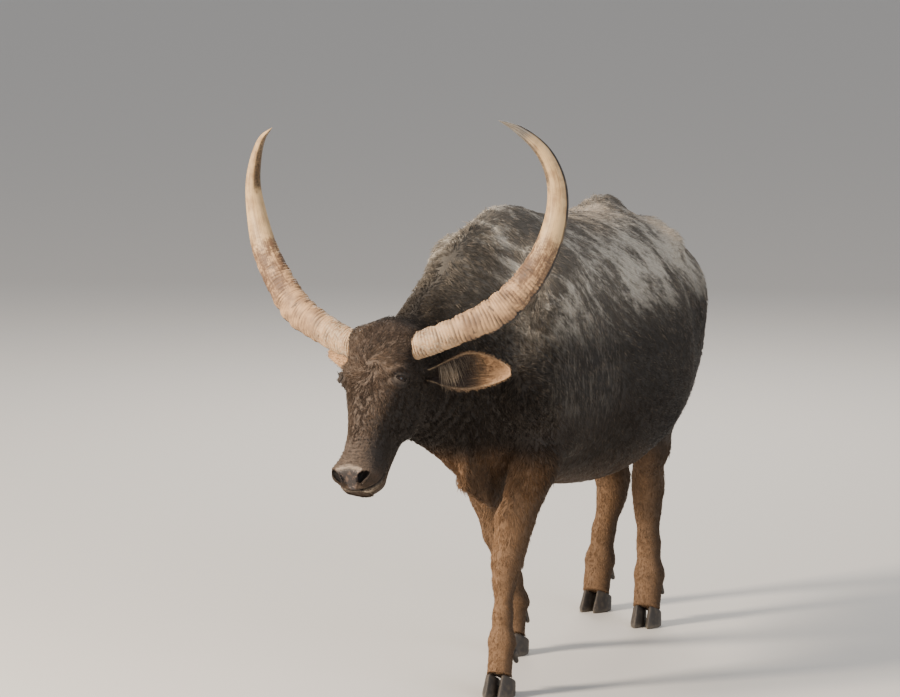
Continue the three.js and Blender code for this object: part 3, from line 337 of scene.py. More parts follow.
# %% [markdown]
# The body's own origin isn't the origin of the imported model, which lies in the middle of its box.
# An eyeball is the one piece whose middle is known in both: the rule says where the face ends
# under the brow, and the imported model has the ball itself. The difference is the step between the
# two frames. The right eye checks the left one.

# %% Find the step between the two frames
SIDE_NAMES = {1: "left", -1: "right"}
EYE_DOWN, EYE_SIDE, EYE_RADIUS, EYE_SUNK = 0.178, 0.06, 0.021, 0.011
EYE_LOOK = np.array([0.88, -0.04, 0.46])


def surface_along(start, way, far):
    """Where a ray from inside the head leaves it."""
    near = 0.0
    for _ in range(30):
        middle = (near + far) / 2
        if head_distance((start + way * middle)[None])[0] < 0:
            near = middle
        else:
            far = middle
    return start + way * near


def eye_place(side):
    """The middle of an eyeball and the way that it looks."""
    look = EYE_LOOK * (side, 1, 1) @ HEAD_AXES
    look = look / np.linalg.norm(look)
    start = from_head((side * EYE_SIDE, EYE_DOWN, -0.002))
    return surface_along(start, look, 0.12) - look * EYE_SUNK, look


def node_middle(name):
    """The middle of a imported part's box."""
    low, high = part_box(name)
    return (np.array(low) + np.array(high)) / 2


EYES = {side: eye_place(side) for side in SIDE_NAMES}
FRAME_STEP = node_middle("eye_left") - EYES[1][0]
right_off = np.abs(node_middle("eye_right") - EYES[-1][0] - FRAME_STEP).max()
print("step between the frames:", FRAME_STEP.round(4), "and the right eye is off by", right_off.round(5))

# %% [markdown]
# ## The skin
#
# A surface can be drawn out of a field by voxel remeshing a blocky stand-in, by metaballs, or by
# surface nets: one point in each grid cell that the surface crosses, joined across each crossed
# grid edge. Surface nets are short to write, keep one closed mesh from muzzle to tail, and leave
# no seam where a leg or the neck begins. The grid is coarse, so the mesh is then split where more
# detail is needed, on the head, lower legs and tail, and most of all round the eyes, nostrils and
# mouth. After each split every point slides back onto the surface.

# %% Surface nets
SKIN_CELL, BAND, GRID_SKIP = 0.0175, 0.1, 4
SKIN_BOX = (-0.56, -1.08, 0.0), (0.56, 1.5, 1.8)


def field_on_grid(low, high):
    """The body's field on a grid, worked out in full only near the surface."""
    axes = [np.arange(a, b + SKIN_CELL, SKIN_CELL) for a, b in zip(low, high)]
    coarse = np.stack(np.meshgrid(*[axis[::GRID_SKIP] for axis in axes], indexing="ij"), -1)
    values = body_distance(coarse.reshape(-1, 3)).reshape(coarse.shape[:3])
    for k in range(3):
        values = np.repeat(values, GRID_SKIP, axis=k).take(range(len(axes[k])), axis=k, mode="clip")
    near = np.argwhere(np.abs(values) < BAND)
    places = np.column_stack([axis[near[:, k]] for k, axis in enumerate(axes)])
    values[tuple(near.T)] = body_distance(places)
    return axes, values


def surface_nets(axes, values):
    """Points and four-sided faces of the surface where the values change sign."""
    inside = values < 0
    shape = np.array(values.shape) - 1
    corners = [(n & 1, (n >> 1) & 1, (n >> 2) & 1) for n in range(8)]
    count = sum(inside[a:shape[0] + a, b:shape[1] + b, c:shape[2] + c].astype(int) for a, b, c in corners)
    cells = np.argwhere((count > 0) & (count < 8))
    total, crossings = np.zeros((len(cells), 3)), np.zeros(len(cells))
    for first in range(8):
        for second in (first | bit for bit in (1, 2, 4) if not first & bit):
            start, end = np.array(corners[first]), np.array(corners[second])
            a, b = (values[tuple((cells + corner).T)] for corner in (start, end))
            crossed = (a < 0) != (b < 0)
            t = a[crossed] / (a[crossed] - b[crossed])
            total[crossed] += start + t[:, None] * (end - start)
            crossings[crossed] += 1
    cell = axes[0][1] - axes[0][0]
    points = np.array([axis[0] for axis in axes]) + (cells + total / crossings[:, None]) * cell
    number = np.full(values.shape, -1)
    number[tuple(cells.T)] = np.arange(len(cells))
    quads = []
    for k in range(3):
        u, v = np.eye(3, dtype=int)[[(k + 1) % 3, (k + 2) % 3]]
        along = np.eye(3, dtype=int)[k]
        grid = np.argwhere(inside)
        for step, turned in ((along, False), (-along, True)):
            to = grid + step
            leaving = grid[~inside[tuple(to.T)]]
            base = leaving if not turned else leaving - along
            ring = [number[tuple((base - m * u - n * v).T)] for m, n in ((0, 0), (1, 0), (1, 1), (0, 1))]
            quads.append(np.column_stack(ring[::-1] if turned else ring))
    return points, np.concatenate(quads)


skin_axes, skin_values = field_on_grid(*SKIN_BOX)
skin_points, skin_quads = surface_nets(skin_axes, skin_values)
print("grid", skin_values.shape, "points", len(skin_points), "faces", len(skin_quads))


# %% Split the faces
def mesh_edges(faces):
    """Each edge of a triangle mesh once, and the edges of every face."""
    pairs = np.sort(np.concatenate([faces[:, [0, 1]], faces[:, [1, 2]], faces[:, [2, 0]]]), axis=1)
    edges, which = np.unique(pairs, axis=0, return_inverse=True)
    return edges, which.reshape(3, -1).T


def split_faces(points, faces, wanted):
    """Splits the wanted faces in four, and their neighbours so that no gap opens."""
    edges, edge_of = mesh_edges(faces)
    cut = np.zeros(len(edges), bool)
    cut[edge_of[wanted]] = True
    middle = np.full(len(edges), -1)
    middle[cut] = len(points) + np.arange(cut.sum())
    points = np.vstack([points, points[edges[cut]].mean(axis=1)])
    cuts = cut[edge_of]
    made = [faces[cuts.sum(axis=1) == 0]]
    for amount in (1, 2, 3):
        chosen = np.flatnonzero(cuts.sum(axis=1) == amount)
        lead = {1: np.argmax(cuts[chosen], axis=1), 2: np.argmin(cuts[chosen], axis=1) + 1}.get(amount, 0)
        turn = (np.arange(3)[None] + np.broadcast_to(lead, len(chosen))[:, None]) % 3
        a, b, c = np.take_along_axis(faces[chosen], turn, axis=1).T
        ab, bc, ca = np.take_along_axis(middle[edge_of[chosen]], turn, axis=1).T
        patterns = {
            1: ((a, ab, c), (ab, b, c)),
            2: ((ab, b, bc), (a, ab, bc), (a, bc, c)),
            3: ((a, ab, ca), (ab, b, bc), (ca, bc, c), (ab, bc, ca)),
        }
        made += [np.column_stack(corner) for corner in patterns[amount]]
    return points, np.concatenate(made)


# %% Even out and settle
def neighbour_means(points, faces):
    """The mean of each point's neighbours."""
    edges, _ = mesh_edges(faces)
    both = np.concatenate([edges, edges[:, ::-1]])
    count = np.bincount(both[:, 0], minlength=len(points))
    total = [np.bincount(both[:, 0], points[both[:, 1], k], len(points)) for k in range(3)]
    return np.column_stack(total) / count[:, None]


SETTLE_STEP, SETTLE_FARTHEST, SETTLE_SLOPE = 0.001, 0.008, 0.3


def settle(points):
    """Slides points towards the surface along the slope of the field."""
    here = body_distance(points)
    ahead = [body_distance(points + SETTLE_STEP * axis) for axis in np.eye(3)]
    slope = (np.column_stack(ahead) - here[:, None]) / SETTLE_STEP
    steep = np.maximum(np.linalg.norm(slope, axis=1), SETTLE_SLOPE)
    return points - slope * (np.clip(here / steep, -SETTLE_FARTHEST, SETTLE_FARTHEST) / steep)[:, None]


def even_out(points, faces):
    """Evens the spacing of the points and settles them, twice."""
    for _ in range(2):
        points = settle((points + neighbour_means(points, faces)) / 2)
    return points


def vertex_normals(points, faces):
    """Outward normals, weighted by the area of the faces."""
    a, b, c = (points[faces[:, k]] for k in range(3))
    face = np.cross(b - a, c - a)
    total = np.zeros_like(points)
    for k in range(3):
        total += np.column_stack([np.bincount(faces[:, k], face[:, m], len(points)) for m in range(3)])
    return total / np.maximum(np.linalg.norm(total, axis=1), 1e-12)[:, None]


def nearest(p, places):
    """How far each point is from the nearest of a few places."""
    return np.min([np.linalg.norm(p - place, axis=1) for place in places], axis=0)


# %% Refine the skin
EYE_PLACES = [place for place, _ in EYES.values()]
FINE_PLACES = EYE_PLACES + [from_head((side * 0.056, 0.528, 0.02)) for side in SIDE_NAMES]
FINE_REACH = 0.044


def wants_split(level, p):
    """Where the skin is split: first on head, lower legs and tail, then on the face and its openings."""
    h = to_head(p)
    on_head = (p[:, 1] < -0.5) & (h[:, 2] > -0.3)
    if level == 0:
        return on_head | (p[:, 2] < 0.46) | (p[:, 1] > 1.345)
    if level == 1:
        return on_head & (h[:, 1] > 0.05) & (h[:, 2] > -0.22) | (p[:, 1] > 1.385)
    mouth = (h[:, 1] > 0.43) & (np.abs(h[:, 2] + 0.066) < 0.026)
    return (nearest(p, FINE_PLACES) < FINE_REACH) | mouth


skin_faces = np.concatenate([skin_quads[:, [0, 1, 2]], skin_quads[:, [0, 2, 3]]])
skin_points = even_out(skin_points, skin_faces)
for level in range(3):
    middles = skin_points[skin_faces].mean(axis=1)
    skin_points, skin_faces = split_faces(skin_points, skin_faces, wants_split(level, middles))
    skin_points = even_out(skin_points, skin_faces)
    print("level", level, "points", len(skin_points), "faces", len(skin_faces))
print("left off the surface by at most", np.abs(body_distance(skin_points)).max().round(5))

# %% [markdown]
# ## Lids, nostrils, lips and folds
#
# Fine forms on the face could be sculpted or carved with booleans. Moving the points of the dense
# mesh by small rules keeps it closed and lets every form be a named size. The skin opens in an
# almond round each eyeball as a bed for the lids, the nostrils are slanted pits under a raised rim,
# the line of the mouth is a groove between two rolled lips, and the bridge of the nose carries
# cross wrinkles.

# %% Helpers for soft edges and slow waves
def smooth_step(low, high, x):
    """0 below low, 1 above high and a smooth rise between them. Also runs downwards."""
    t = np.clip((x - low) / (high - low), 0, 1)
    return t * t * (3 - 2 * t)


def bump(x, width):
    """1 at zero, fading on both sides."""
    return np.exp(-(x / width) ** 2)


WAVES = 7


def slow_waves(p, size, seed):
    """Soft random waves from -1 to 1 with about the given size."""
    random = np.random.default_rng(seed)
    ways = random.normal(size=(WAVES, 3))
    ways *= (random.uniform(0.6, 1.5, WAVES) / np.linalg.norm(ways, axis=1) * 2 * math.pi / size)[:, None]
    return np.sin(p @ ways.T + random.uniform(0, 2 * math.pi, WAVES)).sum(axis=1) / math.sqrt(WAVES) / 1.4


def unit(v):
    """Vectors of length one."""
    v = np.asarray(v, float)
    return v / np.maximum(np.linalg.norm(v, axis=-1, keepdims=True), 1e-12)


# %% Beds for the lids
LID_HALF_WIDTH, LID_UPPER, LID_LOWER = math.radians(58), math.radians(27), math.radians(24)
LID_BACK, LID_BED, LID_SKIP = 0.007, 0.0014, 0.1
SOCKET_DEEP, SOCKET_PLACE, BROW_HIGH, BROW_PLACE = 0.0085, 0.044, 0.0085, 0.04


def eye_axes(look):
    """Across, upward and forward for an eye."""
    upward = unit(-HEAD_AXES[1] + look * (HEAD_AXES[1] @ look))
    return np.cross(upward, look), upward, look


def shape_socket(points, normals, centre, look):
    """Hollows the face below and before the eye, and raises a bony brow above it."""
    offset = points - centre
    across, upward, forward = (offset @ axis for axis in eye_axes(look))
    reach = np.hypot(across, upward)
    share = upward / np.maximum(reach, 1e-6)
    ahead = smooth_step(-0.035, -0.015, forward) * (reach < 0.12)
    brow = BROW_HIGH * bump(reach - BROW_PLACE, 0.012) * smooth_step(-0.1, 0.6, share)
    hollow = SOCKET_DEEP * bump(reach - SOCKET_PLACE, 0.017) * smooth_step(0.35, -0.25, share)
    return points + normals * ((brow - hollow) * ahead)[:, None]


def bed_lids(points, centre, look):
    """Draws the skin close to an eyeball, with an almond opening a little wider than the lids'."""
    offset = points - centre
    far = np.linalg.norm(offset, axis=1)
    across, upward, forward = (offset @ axis for axis in eye_axes(look))
    chosen = (far < 0.075) & (forward > 0.0)
    a = np.arctan2(across, forward)[chosen]
    b = np.arctan2(upward, forward)[chosen]
    arch = np.maximum(1 - (a / LID_HALF_WIDTH) ** 2, 0)
    edge = np.abs(b) - np.where(b > 0, LID_UPPER, LID_LOWER) * arch
    edge = np.maximum(edge, (np.abs(a) - LID_HALF_WIDTH) * 1.4)
    wanted = np.where(edge > LID_SKIP, EYE_RADIUS + LID_BED, EYE_RADIUS - LID_BACK)
    r = far[chosen]
    hold = 1 - smooth_step(0.34, 0.9, edge)
    points = points.copy()
    points[chosen] = centre + offset[chosen] / r[:, None] * (r + (wanted - r) * hold)[:, None]
    return points


# %% Nostrils
NOSTRIL_DOWN, NOSTRIL_SIDE, NOSTRIL_OUT = 0.53, 0.054, 0.034
NOSTRIL_LONG, NOSTRIL_WIDE, NOSTRIL_DEEP, NOSTRIL_RIM = 0.0255, 0.0125, 0.034, 0.005


def press_nostril(points, side):
    """Presses a slanted, comma-shaped pit into the muzzle and raises its outer rim."""
    start = from_head((side * NOSTRIL_SIDE * 0.5, NOSTRIL_DOWN - 0.05, -0.026))
    way = unit(from_head((side * NOSTRIL_SIDE, NOSTRIL_DOWN, NOSTRIL_OUT)) - start)
    mouth = surface_along(start, way, 0.16)
    slant = HEAD_AXES[0] * side + HEAD_AXES[2] * 0.9
    slant = unit(slant - way * (slant @ way))
    across = np.cross(way, slant) * side
    offset = points - mouth
    u = offset @ slant / NOSTRIL_LONG
    v = offset @ across / NOSTRIL_WIDE + 0.5 * u * u - 0.2
    ring = np.hypot(u, v)
    close = np.linalg.norm(offset, axis=1) < 0.06
    pit = NOSTRIL_DEEP * np.sqrt(np.clip(1 - ring * ring, 0, 1)) * close
    rim = NOSTRIL_RIM * bump(ring - 1.35, 0.3) * close
    return points + way * (rim - pit)[:, None], (ring < 1.0) & close


# %% Mouth, lips and bridge
MOUTH_START, MOUTH_DEEP, MOUTH_HALF = 0.44, 0.012, 0.0036
LIP_RAISE, LIP_PLACE, LIP_ROUND = 0.0048, 0.0125, 0.008
WRINKLE_SPAN, WRINKLE_STEP, WRINKLE_HIGH = (0.372, 0.508), 0.014, 0.0034
PAD_TOP, PAD_LOW, PAD_WIDE, PAD_NARROW, PAD_RIM = 0.045, -0.05, 0.054, 0.013, 0.0026
MOUTH_RISE, PAD_BACK = 0.5, 0.506


def mouth_height(h):
    """How far a point of the head is above the line of the mouth."""
    line = -0.0735 + MOUTH_RISE * np.maximum(h[:, 1] - MOUTH_START, 0)
    line = line - 0.004 * bump(h[:, 1] - MOUTH_START - 0.03, 0.03)
    return h[:, 2] - line


def nose_pad(h):
    """1 on the bare pad between the nostrils: wide above, narrow at the lip."""
    height = h[:, 2] - 0.9 * (h[:, 1] - PAD_BACK)
    half = PAD_NARROW + (PAD_WIDE - PAD_NARROW) * np.clip((height - PAD_LOW) / (PAD_TOP - PAD_LOW), 0, 1.1)
    pad = smooth_step(half + 0.004, half - 0.004, np.abs(h[:, 0]))
    pad *= smooth_step(0.002, 0.012, mouth_height(h))
    return pad * smooth_step(-0.007, 0.007, pad_edge(h))


def pad_edge(h):
    """How far a point is past the upper edge of the pad."""
    return h[:, 1] + 0.22 * h[:, 2] - 0.4 * np.abs(h[:, 0]) ** 1.3 - PAD_BACK


# %% Wrinkles of the bridge
def wrinkles(h):
    """Cross wrinkles of the bridge: 1 on their tops, -1 in their creases, 0 elsewhere."""
    span = smooth_step(WRINKLE_SPAN[0], WRINKLE_SPAN[0] + 0.05, h[:, 1])
    span *= smooth_step(WRINKLE_SPAN[1], WRINKLE_SPAN[1] - 0.01, h[:, 1])
    curved = h[:, 1] + 1.1 * np.abs(h[:, 0]) ** 1.5 + 0.0022 * slow_waves(h, 0.06, 3)
    wave = 2 * np.abs(np.sin(math.pi * curved / WRINKLE_STEP)) ** 0.8 - 1
    front = smooth_step(-0.06, -0.01, h[:, 2])
    return wave * span * front * np.clip(0.75 + 0.35 * slow_waves(h, 0.05, 4), 0, 1)


# %% Move the points
def face_moves(points):
    """Outward moves for the mouth, the lips, the rim of the nose pad and the wrinkles."""
    h = to_head(points)
    rise = mouth_height(h)
    along = smooth_step(MOUTH_START - 0.004, MOUTH_START + 0.022, h[:, 1])
    move = -MOUTH_DEEP * bump(rise, MOUTH_HALF) * along
    move += LIP_RAISE * (bump(rise - LIP_PLACE, LIP_ROUND) + bump(rise + LIP_PLACE, LIP_ROUND)) * along
    pad = nose_pad(h)
    move += PAD_RIM * bump(pad - 0.5, 0.3) * (h[:, 2] > -0.01)
    cleft = 0.0022 * bump(h[:, 0], 0.003) * smooth_step(0.0, -0.03, h[:, 2])
    move -= cleft * smooth_step(0.5, 0.52, h[:, 1])
    cheek_bone = bump(h[:, 2] + 0.045 + 0.2 * (h[:, 1] - 0.25), 0.016) * bump(h[:, 1] - 0.27, 0.07)
    jaw = bump(h[:, 2] + 0.115 - 0.05 * (h[:, 1] - 0.2), 0.02) * bump(h[:, 1] - 0.33, 0.09)
    move += 0.005 * cheek_bone - 0.004 * jaw
    move -= 0.0085 * smooth_step(0.5, 0.55, h[:, 1])
    return move + WRINKLE_HIGH * wrinkles(h) * 0.5


def body_moves(points):
    """Outward moves for the folds of the brisket, the loose flank and soft unevenness."""
    x, y, z = points.T
    brisket = bump(y + 0.27, 0.14) * smooth_step(1.02, 0.86, z) * bump(x + 0.02, 0.12)
    folds = np.abs(np.sin(math.pi * (x + 0.1 * (y + 0.3) + 0.006 * slow_waves(points, 0.12, 5)) / 0.042))
    move = 0.011 * (folds ** 0.8 - 0.6) * brisket
    throat = bump(y + 0.5, 0.09) * smooth_step(1.15, 1.02, z)
    move += 0.002 * np.sin(2 * math.pi * (y - 0.4 * z) / 0.045) * throat
    trunk = smooth_step(-0.5, -0.3, y) * smooth_step(0.55, 0.75, z)
    return move + 0.003 * (slow_waves(points, 0.22, 6) - 1) * trunk


pits = np.zeros(len(skin_points), bool)
for side in SIDE_NAMES:
    skin_points, inside_pit = press_nostril(skin_points, side)
    pits |= inside_pit
moves = face_moves(skin_points) + body_moves(skin_points)
skin_points = skin_points + vertex_normals(skin_points, skin_faces) * moves[:, None]
for eye in EYES.values():
    skin_points = shape_socket(skin_points, vertex_normals(skin_points, skin_faces), *eye)
    skin_points = bed_lids(skin_points, *eye)
print("points in the nostrils:", pits.sum(), "largest fold:", moves.max().round(4))

# %% [markdown]
# ## Which way the coat lies
#
# Every later step needs the same facts at each point of the skin: how long the hair is, which way
# it lies and how bare the spot is. They are worked out once, from the place on the body. Hair runs
# back and down from the spine, straight down over the shoulders and legs, away from the whorl on
# the forehead, and it hangs long at the brisket. The skin then sinks by the depth of the coat.

# %% Length of the hair and bare spots
WHORL = np.array([0.0, 0.135, 0.066])
normals = vertex_normals(skin_points, skin_faces)
h = to_head(skin_points)
x, y, z = skin_points.T
on_head = smooth_step(-0.5, -0.57, y - 0.25 * (z - 1.1))
on_leg = smooth_step(0.8, 0.62, z) * smooth_step(-0.65, -0.55, y)
on_tail = smooth_step(1.33, 1.36, y)
on_top = smooth_step(0.2, 0.8, normals[:, 2])
crest = bump(y + 0.3, 0.26) * smooth_step(1.25, 1.5, z) * (0.4 + 0.6 * on_top)
brisket = bump(y + 0.33, 0.17) * smooth_step(1.0, 0.82, z) * smooth_step(0.62, 0.7, z)

nose = nose_pad(h)
mouth_rise = mouth_height(h)
along_mouth = smooth_step(MOUTH_START - 0.01, MOUTH_START + 0.02, h[:, 1])
lips = along_mouth * bump(mouth_rise + 0.012, 0.016) * (0.3 + 0.7 * bump(np.abs(h[:, 0]) - 0.045, 0.022))
mouth_line = along_mouth * bump(mouth_rise, 0.0055)
eye_near = nearest(skin_points, EYE_PLACES)
lids = smooth_step(0.031, 0.0265, eye_near)
muzzle = smooth_step(0.36, 0.5, h[:, 1]) * on_head
creases = np.clip(-wrinkles(h), 0, 1)
folded = smooth_step(0.38, 0.42, h[:, 1]) * smooth_step(-0.06, -0.01, h[:, 2]) * on_head
bare_spots = [nose, lids, pits.astype(float), 0.8 * smooth_step(0.25, 0.8, lips), mouth_line, 0.6 * folded]
bare = np.maximum.reduce(bare_spots)

forehead = bump(np.linalg.norm(h - WHORL, axis=1), 0.13) * on_head
hair = 0.026 + 0.002 * on_top + 0.006 * crest + 0.01 * brisket
hair = hair * (1 - on_leg) + on_leg * (0.011 + 0.014 * smooth_step(0.15, 0.7, z))
head_hair = 0.014 + 0.014 * forehead - 0.009 * muzzle
hair = hair * (1 - on_head) + on_head * head_hair * (1 - 0.45 * bump(eye_near, 0.05))
hair = hair * (1 - 0.55 * on_tail)
lift = 0.09 + 0.02 * crest + 0.06 * forehead - 0.03 * on_leg - 0.05 * muzzle


# %% Lie of the hair
shoulder = bump(y - 0.05, 0.2)
low_flank = smooth_step(1.25, 0.95, z) * smooth_step(0.25, 0.45, y)
down = 0.85 + 1.3 * shoulder - 0.55 * low_flank
lie = np.column_stack([0.5 * np.sign(x) * on_top, np.ones_like(y), -down])
lie = lie * (1 - on_leg)[:, None] + on_leg[:, None] * (0, 0.25, -1)
lie[:, 2] -= 1.5 * brisket + 2.0 * on_tail


def spun(x, y, angle):
    """Two coordinates turned by an angle in their own plane."""
    c, s = np.cos(angle), np.sin(angle)
    return x * c - y * s, x * s + y * c


from_whorl = h - WHORL
whorl_far = np.linalg.norm(from_whorl, axis=1)
whorl_turn = 1.25 * bump(whorl_far, 0.05) + 0.35 * slow_waves(h, 0.07, 10) * forehead
away = np.column_stack([*spun(from_whorl[:, 0], from_whorl[:, 1], whorl_turn), from_whorl[:, 2]])
away = unit(away) @ HEAD_AXES
cheek = smooth_step(0.02, -0.1, h[:, 2])
head_lie = away * (1 - cheek)[:, None] + cheek[:, None] * (0.0, 0.75, -0.65)
lie = lie * (1 - on_head)[:, None] + head_lie * on_head[:, None]
swirl = 0.28 * slow_waves(skin_points, 0.3, 8) + 0.16 * slow_waves(skin_points, 0.09, 9)
lie = unit(lie - normals * (lie * normals).sum(axis=1)[:, None])
lie = unit(lie * np.cos(swirl)[:, None] + np.cross(normals, lie) * np.sin(swirl)[:, None])

coat_depth = (0.001 + np.minimum(hair * lift * 0.8, 0.007) + 0.006 * on_tail) * (1 - bare)
skin_points = skin_points - normals * coat_depth[:, None]
print("hair from", hair.min().round(3), "to", hair.max().round(3), "deepest coat", coat_depth.max().round(4))


# %% Make the skin a mesh
def add_object(name, data):
    """An object at the origin, linked to the scene."""
    made = bpy.data.objects.new(name, data)
    bpy.context.scene.collection.objects.link(made)
    return made


def make_mesh(name, points, faces, values, material=None):
    """A mesh object from points of the body's frame, with values on its points and its finish."""
    mesh = bpy.data.meshes.new(name)
    sides = faces.shape[1]
    mesh.vertices.add(len(points))
    mesh.vertices.foreach_set("co", (points + FRAME_STEP).astype(np.float32).ravel())
    mesh.loops.add(faces.size)
    mesh.loops.foreach_set("vertex_index", faces.astype(np.int32).ravel())
    mesh.polygons.add(len(faces))
    mesh.polygons.foreach_set("loop_start", np.arange(0, faces.size, sides, dtype=np.int32))
    mesh.polygons.foreach_set("use_smooth", np.full(len(faces), True))
    mesh.update(calc_edges=True)
    for key, value in values.items():
        kind, field = ("FLOAT_VECTOR", "vector") if value.ndim == 2 else ("FLOAT", "value")
        mesh.attributes.new(key, kind, "POINT").data.foreach_set(field, value.astype(np.float32).ravel())
    if material:
        mesh.materials.append(material)
    return add_object(name, mesh)


# Painted light in the coat's tone: lighter on the tops of the bridge's wrinkles, and darker in their creases
# and round the eyes as painted shade; darker at the whorl as well.
tone = 1 + 0.4 * wrinkles(h) - 0.3 * bump(eye_near, 0.045) - 0.25 * bump(whorl_far, 0.02)
# Painted shade on the head: the cheeks, the sides of the face and the muzzle below the nose pad are darkened;
# pale flecks grow only on its front.
face_front = smooth_step(-0.065, 0.045, h[:, 2] - 0.25 * np.abs(h[:, 0])) * smooth_step(0.535, 0.505, h[:, 1])
face_shade = on_head * (1.75 * face_front - 0.75) * (1 - 0.6 * bump(eye_near, 0.045))
# Painted shade: the low parts of body and legs that face backwards or to the animal's left, and the underside
# of the neck, kept as dim.
low_side = smooth_step(1.0, 0.85, z) * smooth_step(-0.65, -0.55, y) * (1 - on_head)
rear_side = low_side * smooth_step(-0.75, 0.05, normals[:, 1] + 0.25 * normals[:, 0])
throat = smooth_step(-0.26, -0.4, y) * smooth_step(0.82, 0.92, z) * smooth_step(1.36, 1.2, z)
shade = np.clip(rear_side + throat * (1 - on_head), 0, 1)
skin_masks = {"nose": nose, "lips": lips, "lids": lids, "face": face_shade, "dim": shade}
# Painted shade in the nostrils, along the line of the mouth and in the bridge's creases.
skin_masks["pits"] = np.maximum.reduce([pits.astype(float), mouth_line, 0.6 * creases])
skin_masks["rim"] = bump(pad_edge(h) - 0.006, 0.007) * smooth_step(0.06, 0.05, np.abs(h[:, 0]))
skin = make_mesh("skin", skin_points, skin_faces, skin_masks)
print("skin triangles:", len(skin_faces))

# %% [markdown]
# ## Node trees written as arithmetic
#
# A material is a sum of masks and colours, and reads best as one. The small class below wraps a
# socket, so that plain Python operators add Math nodes. One method makes every other node from its
# type, its settings and its sockets. The same class serves shaders and geometry trees.

# %% A socket that takes part in arithmetic
class Value:
    """An output of a node, used as a number in an expression."""

    def __init__(self, tree, socket):
        self.tree, self.socket = tree, socket

    def maths(self, operation, *parts):
        return self.tree.node("ShaderNodeMath", {"operation": operation}, dict(enumerate(parts)))

    def __add__(self, other):
        return self.maths("ADD", self, other)

    def __sub__(self, other):
        return self.maths("SUBTRACT", self, other)

    def __mul__(self, other):
        return self.maths("MULTIPLY", self, other)

    def __rsub__(self, other):
        return self.maths("SUBTRACT", other, self)

    __radd__ = __add__
    __rmul__ = __mul__

    def high(self, other):
        return self.maths("MAXIMUM", self, other)

    def ramp(self, low, high):
        """0 at low, 1 at high, smooth between. Also runs downwards."""
        up = low < high
        settings = {"interpolation_type": "SMOOTHSTEP"}
        edges = {"Value": self, "From Min": min(low, high), "From Max": max(low, high)}
        edges |= {"To Min": 0.0 if up else 1.0, "To Max": 1.0 if up else 0.0}
        return self.tree.node("ShaderNodeMapRange", settings, edges)


# %% A tree that is filled by calls
class Tree:
    """A node tree that is filled by calls."""

    def __init__(self, tree):
        self.tree = tree

    def feed(self, socket, value):
        """Links a value to a socket, or sets the socket."""
        if isinstance(value, Value):
            self.tree.links.new(value.socket, socket)
        elif hasattr(socket, "default_value") and not isinstance(value, (tuple, list)):
            socket.default_value = value
        elif len(socket.default_value) == 4 and len(value) == 3:
            socket.default_value = (*value, 1.0)
        else:
            socket.default_value = value

    def node(self, kind, settings=None, sockets=None, output=0):
        """Any node, from its type, its settings and the values or links of its sockets."""
        made = self.tree.nodes.new(kind)
        for name, value in (settings or {}).items():
            setattr(made, name, value)
        for name, value in (sockets or {}).items():
            named = [s for s in made.inputs if name in (s.name, s.identifier) and s.enabled]
            self.feed(made.inputs[name] if isinstance(name, int) else named[0], value)
        chosen = made.outputs[output]
        if isinstance(output, str):
            chosen = [s for s in made.outputs if s.name == output and s.enabled][0]
        return Value(self, chosen)

    def mix(self, first, second, share):
        """A colour between two colours."""
        settings = {"data_type": "RGBA", "clamp_factor": True}
        return self.node("ShaderNodeMix", settings, {0: share, 6: first, 7: second}, 2)

    def vector(self, operation, *parts):
        """Vector Math on vectors or triples."""
        return self.node("ShaderNodeVectorMath", {"operation": operation}, dict(enumerate(parts)))

    def join(self, x, y, z):
        """A vector from three numbers."""
        return self.node("ShaderNodeCombineXYZ", None, {0: x, 1: y, 2: z})

    def noise(self, place, size, detail=3.0, rough=0.55):
        """Noise from 0 to 1 whose lumps are about one size across."""
        sockets = {"Vector": place, "Scale": 1 / size, "Detail": detail, "Roughness": rough}
        return self.node("ShaderNodeTexNoise", None, sockets)

    def cells(self, place, size):
        """Distance from the edges of cells of about one size across."""
        sockets = {"Vector": place, "Scale": 1 / size}
        return self.node("ShaderNodeTexVoronoi", {"feature": "DISTANCE_TO_EDGE"}, sockets)

    def attribute(self, name):
        """A number kept on the piece."""
        return self.node("ShaderNodeAttribute", {"attribute_name": name}, None, "Fac")


# %% A material and its shader
class Finish(Tree):
    """A material that is filled by calls, with its shader. The fixed sockets are set at once."""

    def __init__(self, name, fixed):
        self.material = bpy.data.materials.new(name)
        self.material.use_nodes = True
        super().__init__(self.material.node_tree)
        self.shader = next(n for n in self.tree.nodes if n.type == "BSDF_PRINCIPLED")
        for key, value in fixed.items():
            self.shader.inputs[key].default_value = value

    def place(self):
        """Object coordinates moved to the body's own frame, whole and as three numbers."""
        place = self.node("ShaderNodeTexCoord", None, None, "Object")
        place = self.vector("SUBTRACT", place, tuple(FRAME_STEP))
        return place, [self.node("ShaderNodeSeparateXYZ", None, {0: place}, k) for k in range(3)]

    def layers(self, colour, *covers):
        """A colour under several others, each with the share that it covers."""
        for cover, share in covers:
            colour = self.mix(colour, cover, share)
        return colour

    def done(self, colour, roughness=None, relief=None):
        """Feeds colour, roughness and relief (height, strength, depth) to the shader."""
        self.feed(self.shader.inputs["Base Color"], colour)
        if roughness is not None:
            self.feed(self.shader.inputs["Roughness"], roughness)
        if relief:
            sockets = dict(zip(("Height", "Strength", "Distance"), relief))
            self.feed(self.shader.inputs["Normal"], self.node("ShaderNodeBump", None, sockets))
        return self.material


# %% [markdown]
# ## Hide, mud and hair
#
# The hide is slate black with a brown cast on face and brisket, and it turns tan down the legs.
# Dried mud lies in pale streaks over back and rump, along the way the rain and the hair run. Skin
# and coat read the same rule of place, so a streak goes through both. Painting each tuft by hand
# or from an image would not hold from every side, and a rule of place does.

